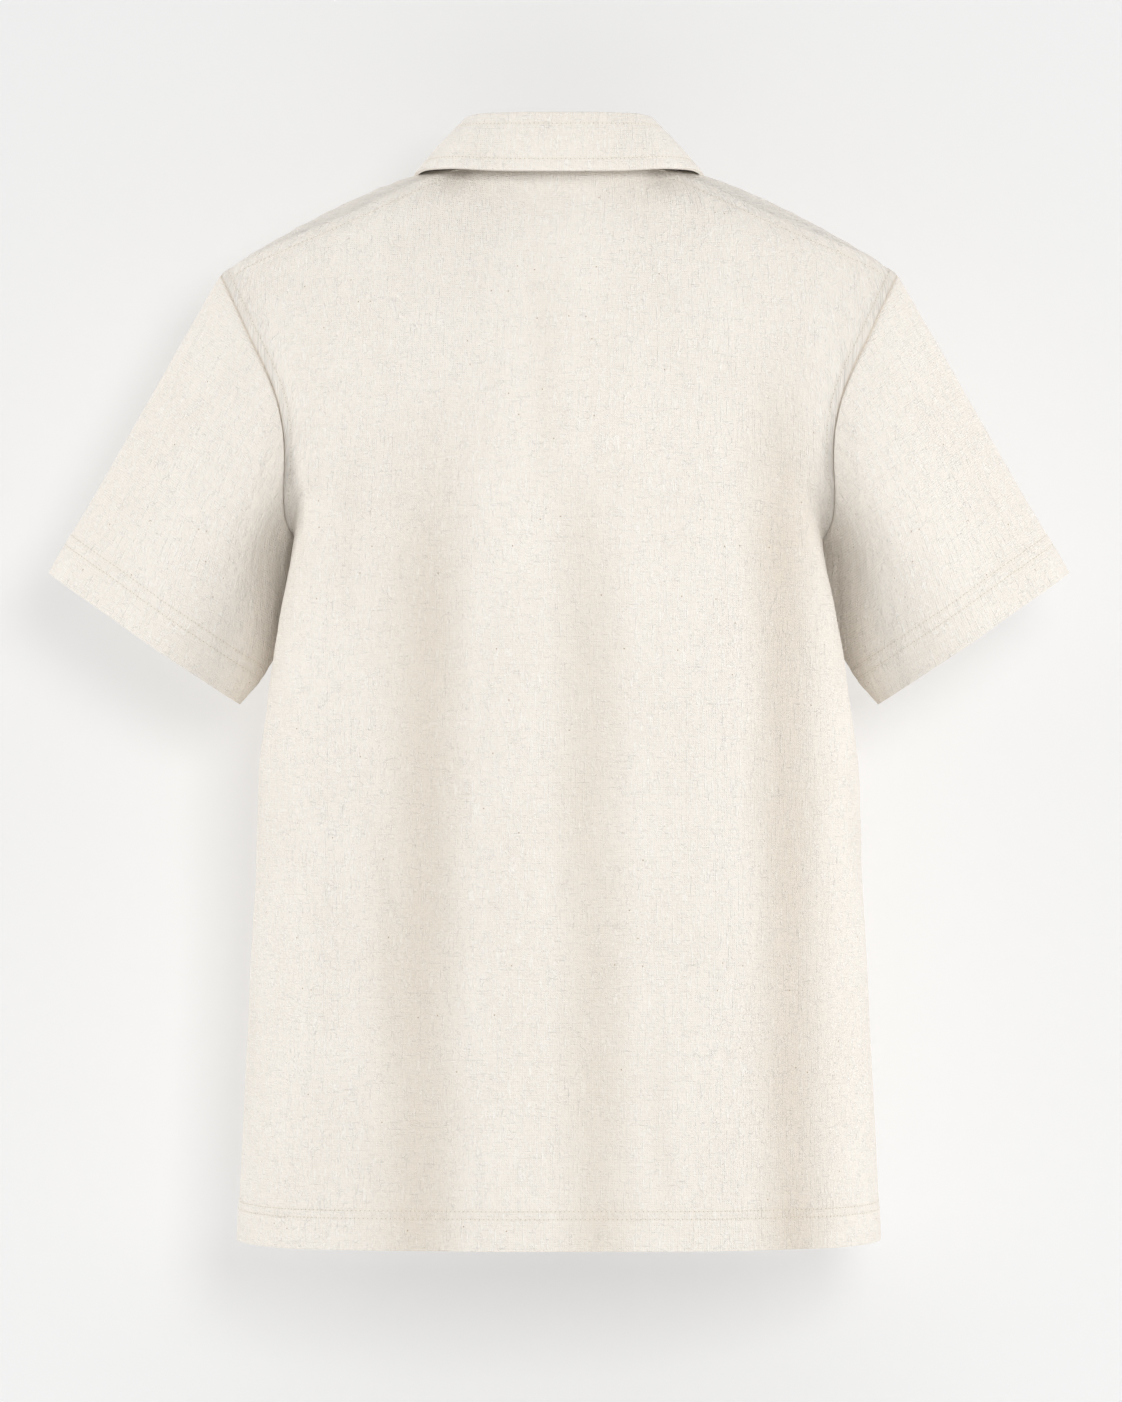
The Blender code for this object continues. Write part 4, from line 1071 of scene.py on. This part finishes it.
def sleeve_grid():
    """The left sleeve's middle surface, from armhole to cuff, round from the shoulder down its back."""
    shares = np.linspace(0, 1, CHEST_ROWS + 1)
    back, front = (along(smooth_path(ARMHOLES[side]), shares) for side in ("back", "front"))
    loop = np.concatenate([back[::-1], front[1:-1]])
    turns = np.concatenate([180 * (1 - shares[::-1]), 180 + 180 * shares[1:-1]])
    turn = np.radians(turns)[:, None]
    top, under = (np.array([p[0], 0, p[1]]) for p in (CUFF_TOP, CUFF_UNDER))
    depth = np.array([0, CUFF_HALF_DEPTH, 0])
    cuff = (top + under) / 2 + (top - under) / 2 * np.cos(turn) + depth * np.sin(turn)
    pulls = curve_through(SLEEVE_PULLS, 180 - np.abs(turns - 180))[:, 1:]
    facing = np.where(turns <= 180, 1, -FRONT_FULLNESS)[:, None] * [0, 1, 0] + [1, 0, 1]
    run = np.linalg.norm(top - loop[0])
    ways = np.concatenate([np.linspace(0, 1 - CUFF_HEM_DEPTH / run, SLEEVE_ROWS), [1]])
    grid = np.array([hermite(loop, pulls[:, :3] * facing, cuff, pulls[:, 3:] * facing, w) for w in ways])
    way = ways[:, None]
    height = np.zeros(grid.shape[:2])
    for fold in SLEEVE_FOLDS:
        centre = fold.turn_top + (fold.turn_low - fold.turn_top) * way
        off = (turns[None, :] - centre + 180) % 360 - 180
        height += fold.height * beside(off, 0, fold.width)
    easing = 1 - SLEEVE_FOLD_EASE * smoothstep((way - 1 + SLEEVE_EASE_RUN) / SLEEVE_EASE_RUN)
    height *= smoothstep(way / SLEEVE_FOLD_RISE) * easing
    return grid - normals_of(grid, closed=True) * height[..., None]


chest_rows = back_rows[back_rows >= BODY_ROWS] - BODY_ROWS
sleeve_turns = np.concatenate([CHEST_ROWS + chest_rows, 3 * CHEST_ROWS - chest_rows[-2::-1]])
sleeve_turns %= 2 * CHEST_ROWS
hem_lines = np.linspace(SLEEVE_ROWS - 1, SLEEVE_ROWS, CUFF_HEM_LINES + 1)[1:]
sleeve_lines = np.concatenate([
    grid_lines(np.linspace(0, SLEEVE_ROWS - 1, (SLEEVE_ROWS - 1) * SLEEVE_LINES + 1), SEAM_LINES), hem_lines
])
sleeve_rows = between_rows(sleeve_grid(), sleeve_lines)
sleeve_middle = between_rows(sleeve_rows.swapaxes(0, 1), sleeve_turns, closed=True).swapaxes(0, 1)
sleeve_down = run_up(sleeve_middle)
sleeve_up = sleeve_down[-1:] - sleeve_down
sleeve_round = run_along(sleeve_middle)
sleeve_cloth = np.stack([sleeve_round - sleeve_round[:, -1:] / 2 + SLEEVE_PATTERN_X, sleeve_up], axis=-1)
sleeve_relief = stitched(sleeve_up, CUFF_STITCHES, HEM_RAISE)
sleeve_free = smoothstep(sleeve_down / RIPPLE_FREE.side)
sleeve_relief += ripples(sleeve_cloth[..., 0], sleeve_up) * (SLEEVE_HELD + (1 - SLEEVE_HELD) * sleeve_free)
sleeve_relief += np.minimum(
    turned_under(sleeve_down / SLEEVE_TUCK) * SLEEVE_TUCK, turned_under(side_distance(sleeve_middle))
)
# The sleeve hangs beside the body, so its inner side from the armpit down gets painted shade for the body's
# shadow.
inner_turn = np.abs((sleeve_turns / CHEST_ROWS - 1) * 180)
inner_shade = SLEEVE_SHADE * smoothstep(1 - inner_turn / SLEEVE_SHADE_TURN)
sleeve_shade = np.tile(inner_shade, (len(sleeve_down), 1))
sleeve_shade += SEAM_SHADE * beside(sleeve_down, 0, SEAM_SHADE_WIDTH) + row_shade(sleeve_up, CUFF_STITCHES)
sleeve_surface, sleeve_outward = outer_side(sleeve_middle, 1, CLOTH_OUT + sleeve_relief)
sleeve_columns = [
    values.swapaxes(0, 1)[:, ::-1] for values in (sleeve_surface, sleeve_outward, sleeve_up)
]
for side, word in ((1, "left"), (-1, "right")):
    flip = np.array([side, 1, 1])
    made = panel_shell(
        f"sleeve_{word}_cloth", sleeve_middle * flip, side, sleeve_relief, sleeve_cloth, sleeve_shade
    )
    surface, outward, distance = sleeve_columns
    lines = [line_at(surface * flip, outward * flip, distance, level) for level in CUFF_STITCHES]
    sewing = stitching(f"sleeve_{word}_stitching", lines)
    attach(made, "root")
    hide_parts(f"sleeve_{word}")

# The collar stand is a narrow doubled band sewn round the neck, which closes at the front with a tab.
# It holds the collar up, and only its ends show, under the collar's points.
CollarSection = namedtuple("CollarSection", "angle fold_x fold_y fold_z leaf_x leaf_y leaf_z")
COLLAR_SECTIONS = (
    CollarSection(0, 0, 52, 20.6, 0, 67.5, -18.2),
    CollarSection(32, 34, 46.5, 20.9, 43, 63.5, -17.4),
    CollarSection(58, 53.5, 30, 21.2, 75, 42, -14.2),
    CollarSection(80, 59.5, 9, 18.8, 93.4, 10, -13.8),
    CollarSection(100, 59, -13, 10, 97.4, -22, -21),
    CollarSection(125, 49, -37, -12.5, 89, -46, -53),
    CollarSection(150, 31.5, -54, -37, 71, -67, -82),
    CollarSection(168, 13.5, -60.5, -46.5, 54, -78, -99),
    CollarSection(180, 0, -62, -48, 47, -81, -103),
)
FOLD_RADIUS = 2.2
BAND_STEP = 2.3
BAND_CLEAR = 0.15
LEG_BACK = 4.0
LEG_FRONT = 1.0
LEG_CHANGE_DEG = 150.0
CENTRE_DEG = math.degrees(math.asin((PLACKET_HALF / NECK_HALF) ** (1 / NECK_ROUNDNESS)))
UNDER_DEG = CENTRE_DEG * UNDERLAP / PLACKET_HALF
STEP_DEG = CENTRE_DEG * STEP_START / PLACKET_HALF
DOUBLED_HALF = 1.0
BAND_LINES = 14
BAND_STITCH = 3.0
BAND_PATTERN = 700.0
LEAST_DISTANCE = 0.01
TAB_ROUND = 0.28
RING_LINES = 241


def neck_lines(angles):
    """Round the neck at the given angles: the seam, the collar's fold and free edge, the ways up and out,
    and how far the collar's inner leg comes down from its fold."""
    turned = (angles + 180) % 360 - 180
    sections = curve_through(COLLAR_SECTIONS, np.abs(turned))
    sides = np.where(turned < 0, -1, 1)[:, None] * [1, 0, 0] + [0, 1, 1]
    fold = sections[:, 1:4] * sides
    neck = np.array([neck_point(angle) for angle in turned])
    up = unit(fold - neck)
    out = unit(np.cross(up, np.gradient(fold, axis=0)))
    leg = LEG_BACK + (LEG_FRONT - LEG_BACK) * smoothstep(np.abs(turned) / LEG_CHANGE_DEG)
    return neck, fold, sections[:, 4:7] * sides, up, out, leg


def under_level(angles):
    """How far the band and collar step in, where they run under the left front."""
    return -BAND_STEP * (1 - smoothstep((angles + 180 - CENTRE_DEG) / (STEP_DEG - CENTRE_DEG)))


band_angles = np.linspace(-180 - UNDER_DEG, 180 + CENTRE_DEG, RING_LINES)
neck, fold, leaf, up, out, leg = neck_lines(band_angles)
band_top = np.linalg.norm(fold - neck, axis=1) - FOLD_RADIUS - leg - BAND_CLEAR
past_front = np.clip((np.abs(band_angles) - 180) / CENTRE_DEG, 0, 1)
band_top *= 1 - TAB_ROUND * past_front**3
band_shares = np.linspace(0, 1, BAND_LINES)[:, None]
band_middle = (
    neck + up * (band_top * band_shares)[..., None] + out * under_level(band_angles)[:, None]
)
band_cloth = cloth_places(band_middle) + BAND_PATTERN
band_edge = np.minimum(
    side_distance(band_middle), np.minimum(band_shares, 1 - band_shares) * band_top + LEAST_DISTANCE
)
band_relief = -EDGE_ROUND * (1 - smoothstep(band_edge / EDGE_TURN))
band_relief -= STITCH_GROOVE * beside(band_edge, BAND_STITCH, GROOVE_WIDTH)
band_piece = panel_shell(
    "collar_stand", band_middle, -1, band_relief, band_cloth, row_shade(band_edge, (BAND_STITCH,)),
    DOUBLED_HALF, DOUBLED_HALF,
)
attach(band_piece, "root")
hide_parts("collar_band")

# The collar is cut double from the same cloth, turned out over the stand and pressed.
# Its fold stands level with the back of the neck, and its edge is stitched 8 mm in.
COLLAR_START = CENTRE_DEG * 3 / PLACKET_HALF
FOLD_STEPS = 12
LEAF_STEPS = 22
LEAF_BOW = 1.2
LEAF_STITCH = 8.0
FOLD_STITCH = 9.5
COLLAR_PATTERN = 900.0

collar_angles = np.linspace(-180 + COLLAR_START, 180 - COLLAR_START, RING_LINES)
neck, fold, leaf, up, out, leg = neck_lines(collar_angles)
level = under_level(collar_angles)[:, None]
radius_out = FOLD_RADIUS - level / 2
centre = fold - up * FOLD_RADIUS + out * (FOLD_RADIUS + level / 2)
run = leaf - fold
turn_end = np.pi / 2 + np.arctan2(-dot(run, up), dot(run, out) - 2 * FOLD_RADIUS)
collar_rows = [centre - out * radius_out - up * (leg[:, None] - BAND_CLEAR)]
for k in range(FOLD_STEPS + 1):
    turn = turn_end * k / FOLD_STEPS
    collar_rows.append(centre - out * radius_out * np.cos(turn) + up * FOLD_RADIUS * np.sin(turn))
start = collar_rows[-1]
leaf_way = unit(leaf - start)
leaf_out = unit(np.cross(np.gradient(start, axis=0), leaf_way))
for k in range(1, LEAF_STEPS + 1):
    t = k / LEAF_STEPS
    collar_rows.append(start + (leaf - start) * t + leaf_out * LEAF_BOW * math.sin(math.pi * t))
collar_middle = np.array(collar_rows)
collar_down = run_up(collar_middle)
collar_edge = collar_down[-1:] - collar_down
past_fold = collar_down - collar_down[1 + FOLD_STEPS // 2]
collar_cloth = cloth_places(collar_middle) + COLLAR_PATTERN
edge_in = np.minimum(collar_edge, side_distance(collar_middle))
collar_relief = -EDGE_ROUND * (1 - smoothstep(edge_in / EDGE_TURN))
for distance, row in ((edge_in, LEAF_STITCH), (past_fold, FOLD_STITCH)):
    collar_relief -= STITCH_GROOVE * beside(distance, row, GROOVE_WIDTH)
collar_shade = row_shade(edge_in, (LEAF_STITCH,)) + row_shade(past_fold, (FOLD_STITCH,))
collar_piece = panel_shell(
    "collar_cloth", collar_middle, -1, collar_relief, collar_cloth, collar_shade, DOUBLED_HALF, DOUBLED_HALF
)
collar_surface, collar_outward = outer_side(collar_middle, -1, DOUBLED_HALF + collar_relief)
collar_sewing = stitching("collar_stitching", [
    line_at(*(values.swapaxes(0, 1)[:, ::-1] for values in (collar_surface, collar_outward, collar_edge)),
            LEAF_STITCH),
    line_at(*(values.swapaxes(0, 1) for values in (collar_surface, collar_outward, past_fold)), FOLD_STITCH),
])
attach(collar_piece, "root")
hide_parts("collar")

# The buttons are cast polyester with a faint pearl swirl, turned with a rim and a dish, 11.4 mm across.
# Each is sewn to the right front through four holes, and comes out of a hole worked in close satin stitch.
BUTTON_PROFILE = (
    (0, 0.6), (2.2, 0.62), (3.2, 0.72), (3.9, 0.95), (4.4, 1.15), (4.9, 1.2), (5.35, 1.12), (5.62, 0.85),
    (5.7, 0.45), (5.55, -0.4), (5.0, -0.95), (4.2, -1.2), (0, -1.2),
)
BUTTON_SIDES = 48
PIN_SIDES = 16
PIN_RADIUS = 0.85
PIN_OFFSET = 1.6
PIN_REACH = 3.0
THREADS_A_PAIR = 3
PAIR_SPREAD = 0.4
PAIR_REACH = 2.6
BUTTONS = 6
HOLE_LENGTH = 14.0
SATIN_PITCH = 0.55
SATIN_OFF = 0.85
SATIN_LENGTH = 1.5
SLIT_HALF = 0.16


def cast_polyester():
    """Cast polyester resin with pearl in it, turned and tumbled to a soft shine: ivory, a little cloudy."""
    made, tree, shader = new_material("cast_polyester")
    place = add_node(tree, "ShaderNodeTexCoord", {}, {}).outputs["Object"]
    swirl = add_node(
        tree, "ShaderNodeTexWave", {"wave_type": "BANDS"},
        {"Vector": place, "Scale": 1 / (9 * MM), "Distortion": 9.0, "Detail": 3.0},
    ).outputs["Fac"]
    tone = add_node(
        tree, "ShaderNodeMix", {"data_type": "RGBA"}, {0: swirl, 6: linear("#E6DFD0"), 7: linear("#F4F0E7")}
    ).outputs[2]
    tree.links.new(tone, shader.inputs["Base Color"])
    turned = add_node(
        tree, "ShaderNodeTexWave", {"wave_type": "RINGS", "rings_direction": "Z"},
        {"Vector": place, "Scale": 2 * math.pi / 20 / (0.35 * MM)},
    ).outputs["Fac"]
    bump = add_node(tree, "ShaderNodeBump", {}, {"Strength": 0.2, "Distance": 0.00003, "Height": turned})
    tree.links.new(bump.outputs[0], shader.inputs["Normal"])
    shader.inputs["Roughness"].default_value = 0.28
    shader.inputs["IOR"].default_value = 1.54
    return made


polyester = cast_polyester()


def turned_blank(name, profile, sides, middle):
    """A closed round body from a profile of radii and heights that starts and ends on its axis."""
    points, rings = [], []
    for radius, height in profile:
        count = sides if radius else 1
        rings.append(range(len(points), len(points) + count))
        turns = 2 * np.pi * np.arange(count) / sides
        x, y = middle[0] + radius * np.cos(turns), middle[1] + radius * np.sin(turns)
        points += zip(x, y, [height] * count)
    faces = []
    for first, second in zip(rings[:-1], rings[1:]):
        for k in range(sides):
            n = (k + 1) % sides
            corners = ((first, k), (second, k), (second, n), (first, n))
            faces.append(tuple(dict.fromkeys(ring[turn % len(ring)] for ring, turn in corners)))
    mesh = bpy.data.meshes.new(name)
    mesh.from_pydata((np.array(points) * MM).tolist(), [], faces)
    return placed(name, mesh)


def shirt_button():
    """The button with its four holes cut, as one mesh that every button shares."""
    blank = turned_blank("button_blank", BUTTON_PROFILE, BUTTON_SIDES, (0, 0))
    blank.data.materials.append(polyester)
    pins = []
    for quarter in range(4):
        turn = math.pi / 4 + quarter * math.pi / 2
        middle = (PIN_OFFSET * math.cos(turn), PIN_OFFSET * math.sin(turn))
        profile = ((0, PIN_REACH), (PIN_RADIUS, PIN_REACH), (PIN_RADIUS, -PIN_REACH), (0, -PIN_REACH))
        pin = turned_blank("pin", profile, PIN_SIDES, middle)
        cut = blank.modifiers.new("hole", "BOOLEAN")
        cut.object = pin
        pins.append(pin)
    made = bpy.data.meshes.new_from_object(blank.evaluated_get(bpy.context.evaluated_depsgraph_get()))
    made.shade_smooth()
    made.set_sharp_from_angle(angle=math.radians(40))
    for helper in (blank, *pins):
        bpy.data.objects.remove(helper)
    return made


button_form = shirt_button()
band_surface, band_outward = outer_side(band_middle, -1, DOUBLED_HALF + band_relief)
placket_worked = (placket_surface, placket_outward, np.array([1.0, 0, 0]))
band_worked = (band_surface, band_outward, np.array([0, 0, 1.0]))
worked = []
for name in [f"button_{number}" for number in range(1, BUTTONS + 1)] + ["button_collar"]:
    surface, outward, side_way = band_worked if name == "button_collar" else placket_worked
    centre = sum(np.array(corner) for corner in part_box(name)) / 2 / MM
    nearest = np.argmin(np.linalg.norm(surface.reshape(-1, 3) - centre, axis=1))
    way = outward.reshape(-1, 3)[nearest]
    slit_way = unit(np.cross(way, side_way))
    across = unit(np.cross(slit_way, way))
    made = placed(f"shirt_{name}", button_form)
    made.rotation_euler = Vector(way).to_track_quat("Z", "Y").to_euler()
    made.location = Vector(centre * MM)
    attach(made, "root")
    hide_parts(name)
    on_cloth = centre - way * dot(centre - surface.reshape(-1, 3)[nearest], way)
    runs = np.arange(-HOLE_LENGTH / 2, HOLE_LENGTH / 2, SATIN_PITCH)[:, None]
    for side in (-1, 1):
        satin = on_cloth + slit_way * runs + across * SATIN_OFF * side
        shape = rings_of(satin, across + 0 * satin, way + 0 * satin, STITCH_RINGS, SATIN_LENGTH, THREAD / 2)
        worked.append((shape, 0))
    # The slit is a thin dark sliver of painted shade down the buttonhole's middle.
    slit = rings_of(on_cloth[None], slit_way[None], way[None], STITCH_RINGS, HOLE_LENGTH, SLIT_HALF)
    worked.append((slit, 1))
    top = centre + way * BUTTON_PROFILE[0][1]
    button_x, button_y = (np.array(made.rotation_euler.to_matrix())[:, k] for k in (0, 1))
    pair_off = PIN_OFFSET * math.sqrt(0.5)
    for pair in (-1, 1):
        shifts = np.linspace(-PAIR_SPREAD, PAIR_SPREAD, THREADS_A_PAIR)[:, None]
        held = top + button_x * (pair * pair_off + shifts)
        ahead = button_y + 0 * held
        shape = rings_of(held, ahead, way + 0 * held, STITCH_RINGS, PAIR_REACH * pair_off, THREAD / 2)
        worked.append((shape, 0))
sewn_piece("buttonhole_thread", worked)

# Floor, backdrop, lights and camera: a pale photographic sweep close behind the shirt's chest.
FLOOR_Z = -900.0
BACKDROP_Y = -142.0
SWEEP_HALF = 3000.0
ROOM_LIGHT = 0.42
ROOM_SEEN = 0.86
LIGHT_SIZE = 1000.0
SHIRT_MIDDLE = (0, 0, -350)
SCREEN_GLOW = 0.298


def flat_square(name, corners, finish):
    mesh = bpy.data.meshes.new(name)
    mesh.from_pydata((np.array(corners) * MM).tolist(), [], [(0, 1, 2, 3)])
    mesh.materials.append(finish)
    return placed(name, mesh)


def lit_screen():
    """A translucent white screen, lit from behind, so that the shadows on it stay pale.

    It is seen from its lit face only, so that the chest shows from the other side.
    """
    made, tree, shader = new_material("lit_screen")
    behind = add_node(tree, "ShaderNodeNewGeometry", {}, {}).outputs["Backfacing"]
    clear = add_node(tree, "ShaderNodeBsdfTransparent", {}, {}).outputs[0]
    either = add_node(tree, "ShaderNodeMixShader", {}, {0: behind, 1: shader.outputs[0], 2: clear})
    tree.links.new(either.outputs[0], tree.nodes["Material Output"].inputs["Surface"])
    shader.inputs["Base Color"].default_value = linear("#E0E0E0")
    shader.inputs["Roughness"].default_value = 0.95
    shader.inputs["Specular IOR Level"].default_value = 0.0
    shader.inputs["Emission Color"].default_value = (1, 1, 1, 1)
    shader.inputs["Emission Strength"].default_value = SCREEN_GLOW
    return made


sweep = lit_screen()
floor = flat_square(
    "floor",
    [(-SWEEP_HALF, -SWEEP_HALF, FLOOR_Z), (SWEEP_HALF, -SWEEP_HALF, FLOOR_Z),
     (SWEEP_HALF, SWEEP_HALF, FLOOR_Z), (-SWEEP_HALF, SWEEP_HALF, FLOOR_Z)],
    sweep,
)
backdrop = flat_square(
    "backdrop",
    [(SWEEP_HALF, BACKDROP_Y, FLOOR_Z), (-SWEEP_HALF, BACKDROP_Y, FLOOR_Z),
     (-SWEEP_HALF, BACKDROP_Y, SWEEP_HALF), (SWEEP_HALF, BACKDROP_Y, SWEEP_HALF)],
    sweep,
)

shirt_only = bpy.data.collections.new("shirt_only")
for shown in bpy.context.scene.objects:
    if shown not in (floor, backdrop):
        shirt_only.objects.link(shown)


def area_light(name, place, power, lit=None):
    """A square soft light that faces the shirt. Given a collection, it lights only what that holds."""
    data = bpy.data.lights.new(name, "AREA")
    data.size = LIGHT_SIZE * MM
    data.energy = power
    made = placed(name, data)
    made.location = Vector(place) * MM
    made.rotation_euler = (Vector(place) - Vector(SHIRT_MIDDLE)).to_track_quat("Z", "Y").to_euler()
    made.visible_camera = False
    if lit:
        made.light_linking.receiver_collection = lit
        made.light_linking.blocker_collection = lit
    return made


area_light("key_light", (-680, 3800, 320), 36.5)
area_light("right_light", (-2700, 1200, 300), 33, shirt_only)
area_light("chest_light", (700, -3800, 320), 34, shirt_only)
area_light("left_light", (2900, 1300, 700), 43, shirt_only)

world = bpy.data.worlds.new("studio")
world.use_nodes = True
seen = add_node(world.node_tree, "ShaderNodeLightPath", {}, {}).outputs["Is Camera Ray"]
strength = add_node(world.node_tree, "ShaderNodeMapRange", {}, {0: seen, 3: ROOM_LIGHT, 4: ROOM_SEEN})
room = world.node_tree.nodes["Background"]
room.inputs["Color"].default_value = linear("#FFFFFF")
world.node_tree.links.new(strength.outputs[0], room.inputs["Strength"])
bpy.context.scene.world = world
bpy.context.scene.view_settings.view_transform = "Standard"

# The camera stands 4 m behind the shirt, level with its middle, with a long lens.
CAMERA_X = -1.33
CAMERA_Y = 4000.0
CAMERA_Z = -366.0
SENSOR = 36.0
FOCAL_PIXELS = 5997.0
PICTURE_HIGH = 1402

camera_data = bpy.data.cameras.new("camera")
camera_data.sensor_fit = "VERTICAL"
camera_data.sensor_height = SENSOR
camera_data.sensor_width = SENSOR
camera_data.lens = FOCAL_PIXELS / PICTURE_HIGH * SENSOR
camera_data.clip_start = 0.1
camera_data.clip_end = 50
camera = placed("camera", camera_data)
camera.location = Vector((CAMERA_X, CAMERA_Y, CAMERA_Z)) * MM
camera.rotation_euler = (math.pi / 2, 0, math.pi)
bpy.context.scene.camera = camera
